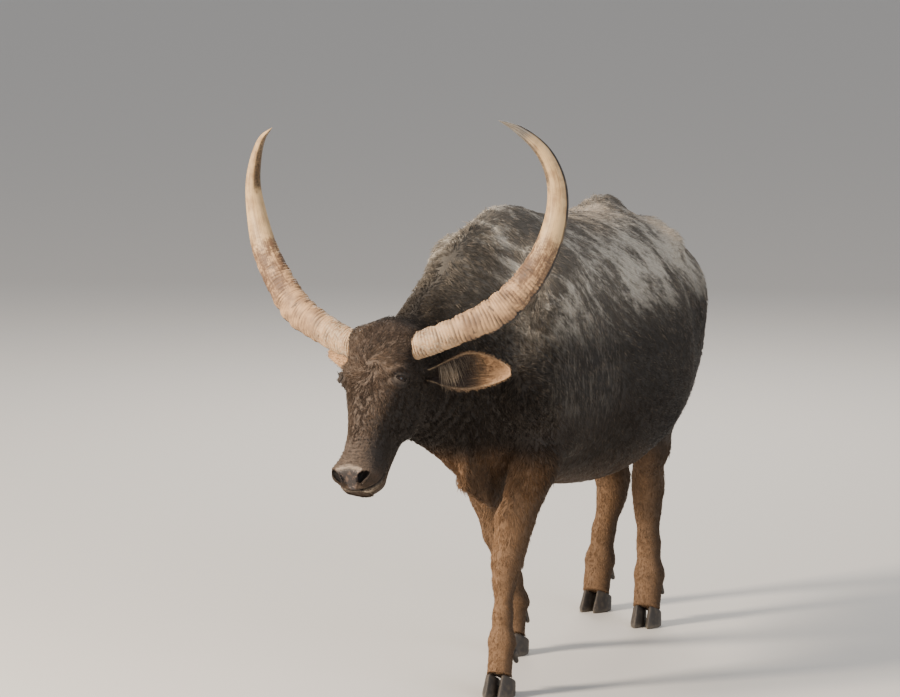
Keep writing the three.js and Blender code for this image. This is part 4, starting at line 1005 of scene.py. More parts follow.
# %% Colours of the hide
SLATE, BROWN, TAN = (0.03, 0.026, 0.023), (0.07, 0.048, 0.035), (0.265, 0.15, 0.076)
DRY, SHADED, CHEST = (0.19, 0.168, 0.14), (0.015, 0.01, 0.007), (0.25, 0.138, 0.068)
FACE_PALE, FACE_SIDE_SHADE, PALE_TIP_AND_SHEEN = (0.215, 0.15, 0.108), (0.02, 0.015, 0.012), (0.4, 0.32, 0.24)
MUD, MUD_BROWN, SPINE = (0.72, 0.67, 0.58), (0.18, 0.14, 0.105), (0.52, 0.4, 0.29)
NOSE_GREY, NOSE_SPOT, PAD_RIM_PALE = (0.034, 0.028, 0.027), (0.2, 0.13, 0.095), (0.3, 0.23, 0.17)
LIP_PALE, WET_DARK_AND_PIT_SHADE, TUFT_DARK_AND_ROOT_SHADE = (0.36, 0.29, 0.21), (0.012, 0.01, 0.01), (0.01, 0.008, 0.006)
SHADE_BETWEEN_TUFTS = (0, 0, 0)


def hide_colour(tree):
    """Colour of hide and hair by place, and how muddy the place is."""
    place, (x, y, z) = tree.place()
    broad = tree.noise(place, 0.3)
    fine = tree.noise(place, 0.022, 2.0)
    low = z + (broad - 0.5) * 0.22
    chest = y.ramp(-0.1, -0.34) * low.ramp(0.93, 0.76)
    brown = (y.ramp(-0.45, -0.62) * 0.35).high(z.ramp(1.05, 0.8) * 0.35).high(chest) + (broad - 0.5) * 0.7
    # Painted light: the upper trunk is painted paler, partly as dry dust and partly as light from above.
    dry_and_top_light = z.ramp(1.14, 1.46) * y.ramp(-0.6, -0.52) * (0.3 + broad * 0.9)
    # Painted shade: the lower flank and belly are darkened.
    belly = z.ramp(1.1, 0.84) * y.ramp(0.0, 0.25) * 0.92
    strands = tree.noise(tree.join(x, y, z * 0.12), 0.01, 2.0)
    hang = strands.ramp(0.46, 0.68) * y.ramp(-0.42, -0.28) * y.ramp(0.26, 0.06)
    hang = hang * z.ramp(0.84, 1.02) * z.ramp(1.5, 1.3)
    chest = chest * low.ramp(0.9, 0.78) * (0.25 + broad * 0.6 + strands * 0.5)
    fore = y.ramp(0.1, -0.02) * low.ramp(0.78, 0.62)
    mottle = tree.noise(place, 0.045, 3.0)
    legs = low.ramp(0.8, 0.52).high(fore) * y.ramp(-0.62, -0.5) * (0.42 + mottle * 0.45 + fine * 0.3)
    # Painted shade on the rear sides of the legs, the low body and under the neck.
    shade = tree.attribute("dim") * (0.5 + broad * 0.5)
    # Painted shade on the sides of the face, pale flecks on its front.
    face = tree.attribute("face")
    flecks = tree.noise(place, 0.008, 2.0)
    pale_face = face * (broad * 0.5 + fine * 0.4 + flecks * 1.4 - 0.58)
    streak = tree.join(x * 0.7, (y + z) * 1.0, (y - z) * 0.28)
    streaks = tree.noise(streak, 0.05, 4.0, 0.62)
    breaks = tree.noise(streak, 0.008, 2.0, 0.6)
    patches = tree.noise(place, 0.22, 3.0)
    height = z.ramp(1.14, 1.42) * y.ramp(-0.46, -0.16)
    rump = y.ramp(0.3, 0.75) * z.ramp(1.05, 1.3) * z.ramp(1.62, 1.48)
    mud = streaks * 0.55 + breaks * 0.26 + patches * 0.55 + height * 0.06 + rump * 0.06
    mud = mud.ramp(0.68, 0.87) * height
    dust = fine.ramp(0.5, 0.72) * broad.ramp(0.35, 0.6) * z.ramp(0.9, 1.1) * y.ramp(-0.62, -0.5) * 0.3
    spine = z.ramp(1.5, 1.58) * y.ramp(0.1, 0.5) * 0.75
    hook = z.ramp(1.42, 1.48) * y.ramp(0.88, 0.96) * y.ramp(1.2, 1.06) * 0.6
    ridge = spine.high(hook) * (patches * 0.8 + streaks * 0.6 + breaks * 0.5).ramp(0.86, 1.1)
    colour = tree.layers(
        SLATE, (BROWN, brown), (DRY, dry_and_top_light), (SHADED, belly), (DRY, hang * 0.45), (CHEST, chest), (TAN, legs),
        (SHADED, shade * 0.85), (FACE_PALE, pale_face), (FACE_SIDE_SHADE, 0 - face),
        (MUD, mud * 0.85), (MUD_BROWN, dust), (SPINE, ridge * 0.85),
    )
    return place, colour, mud, z


# %% Finishes of skin and hair
def finish_skin():
    """The bare skin: hide, wet nose, lips and the dark rims of the eyes, with painted shade between the tufts
    and in the pits.
    """
    tree = Finish("hide_skin", {"Specular IOR Level": 0.35})
    place, colour, mud, _ = hide_colour(tree)
    nose_mask, lip_mask = tree.attribute("nose"), tree.attribute("lips")
    mottle, grain = tree.noise(place, 0.018), tree.noise(place, 0.0035, 2.0)
    spots = tree.noise(place, 0.01, 2.0).ramp(0.5, 0.66) * 0.55
    rim = tree.attribute("rim") * (0.35 + mottle * 0.8)
    pad = tree.layers(NOSE_GREY, (NOSE_SPOT, spots), (PAD_RIM_PALE, rim))
    colour = tree.layers(
        # Painted shade: the skin is darkened towards black between the tufts.
        SHADE_BETWEEN_TUFTS, (colour, 0.3 + grain * 0.75 - tree.attribute("face").high(0) * 0.14),
        (LIP_PALE, lip_mask * mottle.ramp(0.38, 0.58) * 0.85), (pad, nose_mask),
        # Dark rims of the eyes, and painted shade in the nostrils, the mouth line and the creases.
        (WET_DARK_AND_PIT_SHADE, (tree.attribute("lids") * 0.45).high(tree.attribute("pits"))),
    )
    leather = tree.cells(place, 0.007) * 0.6 + tree.noise(place, 0.004, 2.0) * 0.5
    height = leather * (1 - nose_mask) + tree.cells(place, 0.0055) * 1.6 * nose_mask
    return tree.done(colour, 0.78 - nose_mask * 0.36 + mud * 0.15, (height, 0.55, 0.003))


def finish_coat():
    """The hair: the hide's colour with each tuft a little lighter or darker, darker at its root as painted
    shade, with pale tips and a painted sheen stronger up the body.
    """
    tree = Finish("coat_hair", {"Specular IOR Level": 0.2})
    _, colour, mud, z = hide_colour(tree)
    tint = tree.attribute("tint")
    # Pale tips, with painted sheen that is stronger up the body.
    colour = tree.mix(colour, PALE_TIP_AND_SHEEN, tint.ramp(0.62, 0.92) * (0.1 + z.ramp(0.95, 1.35) * 0.25))
    # Each tuft darker at random, and at its root as painted shade.
    return tree.done(tree.mix(TUFT_DARK_AND_ROOT_SHADE, colour, 0.42 + tint * 0.75), 0.48 + mud * 0.35)


skin.data.materials.append(finish_skin())
coat_hair = finish_coat()
print("nodes in the skin's material:", len(skin.data.materials[0].node_tree.nodes))

# %% [markdown]
# ## Horns
#
# A horn grows from its base, so its rings follow its centreline. It could be a bent cone with a
# displacement, but rings set along the curve give each ridge its own depth and keep its place on
# the real curve. The basal half is ridged and flat-sided, and the outer half is smooth and round.

# %% Rings along a line
def full_turn(count):
    """Angles evenly round a ring."""
    return np.linspace(0, 2 * math.pi, count, endpoint=False)


def on_rings(value, shape, first=0, last=0):
    """A value for each point of a loft's rings, and for the points that close its two ends."""
    return np.append(np.broadcast_to(value, shape).ravel(), (first, last))


def loft(rings):
    """Points and triangles of a closed body through rings of equal size, with a point at each end."""
    rings = np.asarray(rings)
    count, sides = rings.shape[:2]
    points = np.vstack([rings.reshape(-1, 3), rings[0].mean(axis=0), rings[-1].mean(axis=0)])
    i, j = np.meshgrid(np.arange(count - 1), np.arange(sides), indexing="ij")
    a, b = i * sides + j, i * sides + (j + 1) % sides
    walls = [np.stack([a, b, b + sides], -1), np.stack([a, b + sides, a + sides], -1)]
    j, last = np.arange(sides), (count - 1) * sides
    first_cap = np.column_stack([np.full(sides, count * sides), (j + 1) % sides, j])
    last_cap = np.column_stack([np.full(sides, count * sides + 1), last + j, last + (j + 1) % sides])
    faces = np.concatenate([*[wall.reshape(-1, 3) for wall in walls], first_cap, last_cap])
    a, b, c = (points[faces[:, k]] for k in range(3))
    volume = (a * np.cross(b, c)).sum()
    return points, faces if volume > 0 else faces[:, ::-1]


# %% Line, width and ribs of the horns
HORN_BACK = (0.0, 0.004, 0.042, 0.098, 0.146, 0.176, 0.194, 0.186, 0.152, 0.1, 0.06)
HORN_UP = (-0.045, -0.038, 0.008, 0.07, 0.168, 0.28, 0.402, 0.508, 0.606, 0.684, 0.724)
HORN_OUT = {1: (0.07, 0.135, 0.268, 0.4, 0.494, 0.56, 0.595, 0.6008, 0.578, 0.521, 0.461),
            -1: (0.075, 0.144, 0.28, 0.422, 0.525, 0.599, 0.637, 0.6398, 0.599, 0.531, 0.461)}
HORN_WIDE = {1: (0.05, 0.049, 0.048, 0.059, 0.053, 0.045, 0.039, 0.034, 0.027, 0.017, 0.0006),
             -1: (0.052, 0.052, 0.054, 0.062, 0.055, 0.048, 0.036, 0.027, 0.02, 0.012, 0.0006)}
HORN_THICK, HORN_SIDES = 0.042, 56
HORN_RISE = {1: 1.0, -1: 0.975}
RIDGE_END, RIDGE_COUNT, RIDGE_DEEP = 0.58, 68, 0.0038


def horn_piece(side):
    """One horn, with its place along and the depth of its grooves kept on its points."""
    t = np.concatenate([np.linspace(0.0, RIDGE_END, 430)[:-1], np.linspace(RIDGE_END, 1.0, 90)])
    out_way = side * np.array(HORN_OUT[side])
    path = beside_head(np.column_stack([out_way, HORN_BACK, np.array(HORN_UP) * HORN_RISE[side]]))
    centre = curve_through(path, t)
    along = unit(np.gradient(centre, axis=0))
    across = unit(np.cross(along, (0, 1, 0)))
    rise = np.cross(across, along)
    angle = full_turn(HORN_SIDES)
    c, s = np.cos(angle)[None], np.sin(angle)[None]
    thick = HORN_THICK * np.maximum(1 - t ** 2.2, 0.004) ** 0.8
    fine = np.linspace(0, 1, 101)
    near = np.exp(-((t[:, None] - fine) / 0.025) ** 2)
    wide = np.interp(fine, np.linspace(0, 1, len(HORN_BACK)), HORN_WIDE[side])
    wide = (near * wide).sum(axis=1) / near.sum(axis=1)
    wide = np.minimum(wide, HORN_THICK * 1.3 * np.maximum(1 - t ** 2.2, 0.0002) ** 0.62 + 0.012)
    wide *= np.minimum(1, ((1 - t) / 0.03 + 0.02)) ** 0.5
    out, up = wide[:, None] * c, thick[:, None] * s
    wobble = 0.25 * np.sin(angle * 2 + 1)[None] + 0.5 * np.sin(t * 41)[:, None]
    phase = t[:, None] / RIDGE_END * RIDGE_COUNT + wobble
    depth = smooth_step(RIDGE_END, 0.34, t)[:, None] * smooth_step(0.0, 0.02, t)[:, None]
    depth = depth * (0.85 + 0.15 * np.sin(t * 97)[:, None])
    number = np.floor(phase)
    deep = 0.55 + 0.45 * np.sin(number * 12.9898) * np.sin(angle * 3 + number)
    groove = (0.5 - 0.5 * np.cos(2 * math.pi * phase)) ** 2.2 * depth * deep
    big = (0.5 - 0.5 * np.cos(2 * math.pi * phase / 5.3)) ** 4 * depth
    uneven = np.sin(t * 173)[:, None] * np.sin(3 * angle + 9 * t[:, None]) * depth
    inward = RIDGE_DEEP * (groove + 0.8 * big + 0.35 * uneven)
    shrink = 1 - inward / thick[:, None]
    rings = centre[:, None] + across[:, None] * (out * shrink)[..., None]
    points, faces = loft(rings + rise[:, None] * (up * shrink)[..., None])
    spread = {"groove": groove + 0.25 * big, "under": -c * side, "front": -s, "grey": float(side > 0)}
    values = {key: on_rings(value, groove.shape) for key, value in spread.items()}
    values["along"] = on_rings(t[:, None], groove.shape, 0, 1)
    return make_mesh("horn_" + SIDE_NAMES[side], points, faces, values, horn_sheath)


# %% Colours of the horns
BASE_PALE, BASE_TAWNY, BASE_DUSTY = (0.49, 0.3, 0.155), (0.25, 0.15, 0.082), (0.56, 0.44, 0.3)
OUTER_CREAM, OUTER_TAWNY, STAIN = (0.59, 0.4, 0.2), (0.33, 0.205, 0.1), (0.12, 0.064, 0.034)
GROOVE_DARK, DASH_DARK, INNER_DARK = (0.09, 0.062, 0.044), (0.07, 0.048, 0.034), (0.04, 0.027, 0.018)
TIP_GREY, TIP_BLACK, LOWER_EDGE_SHADE = (0.23, 0.215, 0.19), (0.022, 0.019, 0.017), (0.018, 0.014, 0.012)


def finish_horn():
    """Cream horn with broken dark grooves, a brown stain half way, a dark inner face above and a painted
    shadow along its lower outer edge.
    """
    tree = Finish("horn_sheath", {"Specular IOR Level": 0.45})
    place, _ = tree.place()
    t, groove, under, front, grey = map(tree.attribute, ("along", "groove", "under", "front", "grey"))
    cloud = tree.noise(place, 0.05, 4.0)
    grain = tree.noise(place, 0.008, 3.0)
    dashes = tree.noise(tree.join(t * 100, under * 1.5, front * 1.5), 1.0, 2.0, 0.6)
    fibres = tree.noise(tree.join(t * 9, under * 9, front * 9), 1.0, 3.0, 0.6)
    base = tree.mix(BASE_PALE, BASE_TAWNY, cloud.ramp(0.36, 0.66))
    outer = tree.mix(OUTER_CREAM, OUTER_TAWNY, (cloud * 0.6 + fibres * 0.4).ramp(0.44, 0.64))
    tip = tree.mix(TIP_GREY, TIP_BLACK, fibres.ramp(0.44, 0.56))
    blotches = (cloud * 0.4 + grain * 0.3 + fibres * 0.3).ramp(0.4, 0.56)
    colour = tree.layers(
        base, (outer, t.ramp(0.4, 0.58)),
        (BASE_DUSTY, t.ramp(0.24, 0.13) * grain.ramp(0.4, 0.6) * 0.6),
        (STAIN, t.ramp(0.3, 0.37) * t.ramp(0.56, 0.49) * blotches * 0.92),
        (GROOVE_DARK, groove.ramp(0.15, 0.85) * (0.35 + grain * 0.7)),
        (DASH_DARK, dashes.ramp(0.6, 0.7) * t.ramp(0.52, 0.4) * 0.8),
        (INNER_DARK, under.ramp(-0.3, -0.55) * (t + cloud * 0.08).ramp(0.7, 0.745) * (0.35 + grain * 0.9)),
        (tip, (t + cloud * 0.06).ramp(0.84, 0.93) * grey * 0.9),
        # Painted shadow along the lower outer edge.
        (LOWER_EDGE_SHADE, under.ramp(0.9, 0.965) * t.ramp(0.16, 0.26) * (0.45 + cloud)),
    )
    height = grain + tree.noise(place, 0.003, 2.0) * 0.4
    return tree.done(colour, 0.62 - t.ramp(0.4, 0.7) * 0.17, (height, 0.35, 0.0015))


horn_sheath = finish_horn()
horns = {side: horn_piece(side) for side in SIDE_NAMES}
print("horn triangles:", [len(horn.data.polygons) for horn in horns.values()])

# %% [markdown]
# ## Eyes
#
# A buffalo's eye is nearly all dark brown, with a wide black pupil lying level and a wet surface.
# One ball with its colours laid by the angle from its front is enough. The lids could be pulled out
# of the skin, but its faces are too coarse for a clean edge so close to a round ball. So they are a
# ring of their own, lofted outwards from a wet inner edge over a rolled rim and a crease, until it
# dips under the skin. Lashes stand on the upper rim.

# %% Eyeballs
EYE_RINGS, EYE_SIDES, EYE_GAP = 40, 64, 0.0004
EYE_BROWN, EYE_DEEP, EYE_RIM = (0.035, 0.017, 0.008), (0.012, 0.007, 0.005), (0.03, 0.02, 0.016)
PUPIL_BLACK = (0.002, 0.002, 0.002)


def eye_piece(side):
    """A dark ball, turned the way it looks, with the places of its pupil and iris kept on it."""
    centre, look = EYES[side]
    across, upward, forward = eye_axes(look)
    turn = full_turn(EYE_SIDES)
    ring = np.stack([np.cos(turn), np.sin(turn)], -1) @ np.array([across, upward])
    radius = EYE_RADIUS - EYE_GAP
    angles = np.linspace(0.02, math.pi - 0.02, EYE_RINGS)
    rings = [centre + forward * radius * math.cos(a) + ring * radius * math.sin(a) for a in angles]
    points, faces = loft(rings)
    offset = (points - centre) / EYE_RADIUS
    pupil = np.hypot(offset @ across / 0.36, offset @ upward / 0.2) * np.where(offset @ forward > 0, 1, 9)
    iris = np.arccos(np.clip(offset @ forward, -1, 1)) / 0.72
    return make_mesh("eyeball_" + SIDE_NAMES[side], points, faces, {"pupil": pupil, "iris": iris}, eye_wet)


def finish_eye():
    """Black pupil, brown iris, dark rim, all under a clear wet coat."""
    fixed = {"Roughness": 0.3, "Coat Weight": 0.35, "Coat Roughness": 0.06, "Specular IOR Level": 0.25}
    tree = Finish("eye_wet", fixed)
    pupil, iris = tree.attribute("pupil"), tree.attribute("iris")
    colour = tree.layers(EYE_BROWN, (EYE_DEEP, iris.ramp(0.4, 1.0)), (EYE_RIM, iris.ramp(1.0, 1.25)))
    return tree.done(tree.mix(PUPIL_BLACK, colour, pupil.ramp(0.85, 1.1)))


eye_wet = finish_eye()
eyes = {side: eye_piece(side) for side in SIDE_NAMES}
print("eyes at", [tuple((place + FRAME_STEP).round(3)) for place in EYE_PLACES])


# %% Lids
LID_OUT = (-0.1, -0.03, 0.0, 0.04, 0.1, 0.18, 0.26, 0.32, 0.38, 0.46, 0.54, 0.62, 0.72)
LID_HIGH = (-0.003, 0.0004, 0.0014, 0.0032, 0.0048, 0.0056, 0.005, 0.003, 0.0044, 0.0048, 0.0036, 0.0008,
            -0.005)
LID_SIDES, LID_STEPS = 96, 44
LID_WET, LID_DARK, LID_PALE = (0.006, 0.005, 0.005), (0.02, 0.015, 0.012), (0.085, 0.064, 0.05)


def lid_ways(side, turn, out):
    """Directions from the middle of the eye: turn round the opening, out from its edge."""
    across, upward, forward = eye_axes(EYES[side][1])
    sharp = 2 - np.clip(out / 0.35, 0, 1)
    arch = np.where(np.sin(turn) > 0, LID_UPPER, LID_LOWER) + out
    b = np.sign(np.sin(turn)) * arch * np.abs(np.sin(turn)) ** sharp
    a = (LID_HALF_WIDTH + 0.72 * out) * np.cos(turn)
    return (across * (np.sin(a) * np.cos(b))[..., None] + upward * np.sin(b)[..., None]
            + forward * (np.cos(a) * np.cos(b))[..., None])


def lid_piece(side):
    """Upper and lower lid as one ring, with its place outwards kept on its points."""
    turn, out = full_turn(LID_SIDES), np.linspace(LID_OUT[0], LID_OUT[-1], LID_STEPS)[:, None]
    high = np.interp(out[:, 0], LID_OUT, LID_HIGH)
    high = np.convolve(np.pad(high, 1, mode="edge"), (0.25, 0.5, 0.25), mode="valid")[:, None]
    lower_fold = (np.sin(turn) < 0) & (out > 0.1) & (out < 0.54)
    rise = np.where(lower_fold, np.minimum(high, np.interp(out, (0.1, 0.54), (0.0042, 0.0026))), high)
    rise = rise + 0.0005 * np.sin(11 * turn + 30 * out) * smooth_step(0.05, 0.2, out)
    points, faces = loft(EYES[side][0] + lid_ways(side, turn, out) * (EYE_RADIUS + rise)[..., None])
    values = {"out": on_rings(out, rise.shape, LID_OUT[0], LID_OUT[-1])}
    return make_mesh("lid_ring_" + SIDE_NAMES[side], points, faces, values, lid_skin)


def finish_lid():
    """Near-black wet edge, dark wrinkled lid."""
    tree = Finish("lid_skin", {"Specular IOR Level": 0.35})
    place, _ = tree.place()
    out = tree.attribute("out")
    folds = tree.noise(tree.join(out * 26, out * 2, tree.noise(place, 0.012) * 1.5), 1.0, 2.0)
    colour = tree.mix(LID_WET, tree.mix(LID_DARK, LID_PALE, folds.ramp(0.35, 0.7)), out.ramp(0.01, 0.07))
    height = folds + tree.noise(place, 0.003, 2.0) * 0.5
    return tree.done(colour, 0.35 + out.ramp(0.01, 0.08) * 0.35, (height, 0.5, 0.0012))


lid_skin = finish_lid()
lids_made = {side: lid_piece(side) for side in SIDE_NAMES}
print("lid triangles:", [len(lid.data.polygons) for lid in lids_made.values()])

# %% [markdown]
# ## Hooves and dewclaws
#
# Each foot has two claws and, higher up behind, two dewclaws. A claw is a lofted wall that leans
# in towards the coronet, cut off above by the slanting top of the foot and flat on the inner side
# where the pair meets. Its wall carries faint growth rings, level with the coronet.

# %% Claws
HOOF_LONG, HOOF_WIDE, HOOF_CLEFT, CLAW_BACK, CLAW_OUT = 0.128, 0.06, 0.005, 0.008, 0.42
CLAW_LEVELS = ((0, 0.014, 0.05, 0.12), (1, 1.02, 0.9, 0.72), (0, 0, 0.014, 0.036))
CLAW_SIDES, CLAW_RINGS, RING_DEEP = 72, 26, 0.006
DEWCLAW = {"high": 0.15, "back": 0.052, "apart": 0.027, "long": 0.046, "radius": 0.015}
HOOF_DARK, HOOF_BROWN, HOOF_WORN = (0.04, 0.034, 0.03), (0.085, 0.068, 0.052), (0.17, 0.145, 0.115)


def claw_piece(name, leg, side):
    """One claw, with its height up the wall kept for its colour."""
    x, y = leg["joints"][-1][:2]
    angle = full_turn(CLAW_SIDES)
    wide = np.cos(angle) * (1 - 0.45 * np.maximum(-np.sin(angle), 0) ** 2) * HOOF_WIDE / 2
    wide = np.where(np.cos(angle) * side < 0, 0.72, 1.0) * wide

    def place(z, tuck):
        """Points of the wall at given heights, drawn in by a tuck."""
        share = np.interp(z, CLAW_LEVELS[0], CLAW_LEVELS[1]) - tuck
        lean = np.interp(z, CLAW_LEVELS[0], CLAW_LEVELS[2])
        across = wide * share + side * HOOF_WIDE * CLAW_OUT
        across = side * np.maximum(across * side, HOOF_CLEFT / 2)
        back = np.sin(angle) * HOOF_LONG / 2 * share + lean - CLAW_BACK
        across, back = spun(across, back, math.radians(leg["toe"]))
        return np.column_stack([across + x, back + y, z])

    top = np.full(len(angle), HOOF_TOP)
    for _ in range(6):
        top = HOOF_TOP - 0.001 - (place(top, 0)[:, 1] - y) * math.tan(HOOF_SLOPE)
    # Each ring: its share of the height, and how far it is drawn in.
    steps = [(0, 0.3), (0, 0.05), (0.02, 0.02)]
    for share in np.linspace(0.06, 1.0, CLAW_RINGS):
        steps.append((share, RING_DEEP * math.sin(share * 26) + 0.02 * smooth_step(0.85, 1.0, share)))
    steps.append((1.0, 0.3))
    points, faces = loft([place(top * share, tuck) for share, tuck in steps])
    level = on_rings(np.array([share for share, _ in steps])[:, None], (len(steps), CLAW_SIDES), 0, 1)
    return make_mesh(name, points, faces, {"level": level}, hoof_horn)


# %% Dewclaws and the finish of both
def dewclaw_piece(name, leg, side):
    """A small blunt claw behind the fetlock."""
    x, y = leg["joints"][-3][:2]
    apart, back, high = DEWCLAW["apart"], DEWCLAW["back"], DEWCLAW["high"]
    top = np.array([x + side * apart, y + back * 0.6, high])
    foot = np.array([x + side * apart * 1.2, y + back * 1.2, high - DEWCLAW["long"]])
    along = unit(foot - top)
    across = unit(np.cross(along, (0, 1, 0)))
    angle, t = full_turn(24)[:, None], np.linspace(0, 1, 14)
    circle = np.cos(angle) * across + np.sin(angle) * np.cross(across, along)
    blunt = 0.625 * np.sqrt(np.clip(1 - ((t - 0.75) / 0.25) ** 2, 0.03, 1))
    thick = DEWCLAW["radius"] * 0.96 * np.where(t < 0.75, 1 - 0.5 * t, blunt)
    points, faces = loft([top + (foot - top) * s + circle * r for s, r in zip(t, thick)])
    level = on_rings(1 - t[:, None], (len(t), len(angle)), 1, 0)
    return make_mesh(name, points, faces, {"level": level}, hoof_horn)


def finish_hoof():
    """Grey-black hoof horn, paler and worn at the ground."""
    tree = Finish("hoof_horn", {"Specular IOR Level": 0.4})
    place, _ = tree.place()
    cloud = tree.noise(place, 0.02, 4.0)
    worn = tree.attribute("level").ramp(0.3, 0.0) * (0.2 + cloud * 0.6)
    colour = tree.layers(HOOF_DARK, (HOOF_BROWN, cloud.ramp(0.4, 0.75)), (HOOF_WORN, worn))
    height = tree.noise(tree.vector("MULTIPLY", place, (1, 1, 5)), 0.01, 3.0)
    return tree.done(colour, 0.48 + cloud * 0.25, (height, 0.4, 0.001))


hoof_horn = finish_hoof()
feet = {}
for leg_name, leg in LEGS.items():
    for side in SIDE_NAMES:
        place_name = "outer" if (side > 0) == leg_name.endswith("left") else "inner"
        for kind, maker in (("hoof", claw_piece), ("dewclaw", dewclaw_piece)):
            node = f"{kind}_{leg_name}_{place_name}"
            feet[node] = maker("foot_" + node, leg, side)
print("claws and dewclaws:", len(feet))

# %% [markdown]
# ## Ears
#
# An ear is a leaf rolled round its own length: nearly a tube at the root, open further out. It is
# lofted as one closed shell, its outer wall and its inner wall joined round the rim. The inside
# has long ridges, and pale hair hangs from its lower edge.

# %% Ear shells
EAR_ROOT, EAR_LONG, EAR_WIDE, EAR_WALL = (0.1, 0.07, -0.146), 0.308, 0.068, 0.0085
EAR_RINGS, EAR_HALF, EAR_HUG_ROOT, EAR_HUG_TIP = 60, 26, 150, 42
EAR_OUTWARDS = {1: (1, 0.14, 0.05), -1: (-0.82, 0.57, 0.09)}
EAR_FACING = {1: (0.1, -1, -0.16), -1: (-0.57, -0.82, -0.12)}
EAR_GREY, EAR_TAN, EAR_EDGE = (0.075, 0.062, 0.054), (0.3, 0.17, 0.085), (0.6, 0.44, 0.27)
CUP_DARK, CUP_TAN = (0.03, 0.02, 0.015), (0.48, 0.285, 0.15)


def ear_axes(side):
    """The root of an ear and its ways outwards, forwards and upwards."""
    outwards, facing = unit(EAR_OUTWARDS[side]), unit(EAR_FACING[side])
    root = beside_head(np.array(EAR_ROOT) * (side, 1, 1))
    return root, outwards, facing, unit(np.cross(outwards, facing) * -side)


def ear_place(side, t, share, inset):
    """Places on an ear: t along it, share from edge to edge, inset from outer to inner wall."""
    root, outwards, facing, upward = ear_axes(side)
    t, share, inset = np.broadcast_arrays(*[np.asarray(part, float) for part in (t, share, inset)])
    leaf = 0.34 + 0.66 * smooth_step(0.02, 0.52, t) * (1 - 0.42 * smooth_step(0.55, 1.05, t))
    width = EAR_WIDE * leaf * np.sqrt(np.clip(1 - (t / 1.01) ** 4, 0, 1))
    hug = EAR_HUG_ROOT + (EAR_HUG_TIP - EAR_HUG_ROOT) * smooth_step(-0.15, 0.62, t)
    angle = np.radians(hug * share)
    radius = width / np.sin(np.radians(np.minimum(hug, 90)))
    wall = EAR_WALL * (1.2 - 0.6 * t) * (1 - 0.55 * np.abs(share) ** 3)
    reach = np.maximum(radius - wall * inset, radius * 0.4)
    return (root + outwards * (EAR_LONG * t)[..., None] + upward * (reach * np.sin(angle))[..., None]
            + facing * (radius * 0.4 - reach * np.cos(angle))[..., None])


# %% Ears and their finish
def ear_shape(side):
    """Points and faces of an ear, with its place along, across and inside."""
    t = 0.998 * (1 - (1 - np.linspace(0, 1, EAR_RINGS)[:, None]) ** 1.7)
    share = np.concatenate([np.linspace(-1, 1, EAR_HALF), np.linspace(1, -1, EAR_HALF)])
    inside = np.repeat([0.0, 1.0], EAR_HALF)
    ridge = 0.16 * np.abs(np.sin(share * 3 * math.pi)) * smooth_step(0.95, 0.5, np.abs(share)) * inside
    uneven = 0.05 * np.sin(9 * t + 2 * share) + 0.03 * np.sin(23 * t - 5 * share)
    rings = ear_place(side, t, share * (1 + uneven * 0.02), inside - ridge * smooth_step(0.1, 0.3, t))
    values = {"along": t, "share": share, "inside": inside}
    return *loft(rings), {key: on_rings(value, rings.shape[:2]) for key, value in values.items()}


def finish_ear():
    """Brown-grey outside, dark cup, pale rim and an orange outer third."""
    tree = Finish("ear_skin", {"Roughness": 0.8, "Specular IOR Level": 0.3})
    place, _ = tree.place()
    t, share, inside = map(tree.attribute, ("along", "share", "inside"))
    cloud = tree.noise(place, 0.03, 3.0)
    veins = tree.noise(tree.join(t * 1.2, share * 6, 0), 0.35, 4.0)
    colour = tree.layers(
        EAR_GREY, (EAR_TAN, (t + cloud * 0.3).ramp(0.6, 0.95)),
        (tree.mix(CUP_DARK, CUP_TAN, (t + veins * 0.6).ramp(0.8, 1.04)), inside),
        (EAR_EDGE, (share * share).ramp(0.8, 0.99) * (0.35 + cloud * 0.6)),
    )
    return tree.done(colour, None, (tree.noise(place, 0.004, 3.0), 0.5, 0.002))


ear_skin = finish_ear()
ear_shapes = {side: ear_shape(side) for side in SIDE_NAMES}
ears = {side: make_mesh("ear_leaf_" + SIDE_NAMES[side], *ear_shapes[side], ear_skin) for side in SIDE_NAMES}
print("ear triangles:", [len(ear.data.polygons) for ear in ears.values()])

# %% [markdown]
# ## Long hair
#
# The switch of the tail, the fringes of the ears and the lashes are locks long enough to be seen
# one by one. Hair curves would not travel to other programs, so each lock is a thin tapered mesh
# of three sides, laid along a drooping line. All locks of one piece are one mesh.

# %% Locks
LOCK_SHARES = np.array([0.0, 0.15, 0.4, 0.65, 0.85, 1.0])
LOCK_WIDTHS = np.array([0.55, 1.0, 0.95, 0.7, 0.4, 0.04])


LOCK_FLAT = 0.35


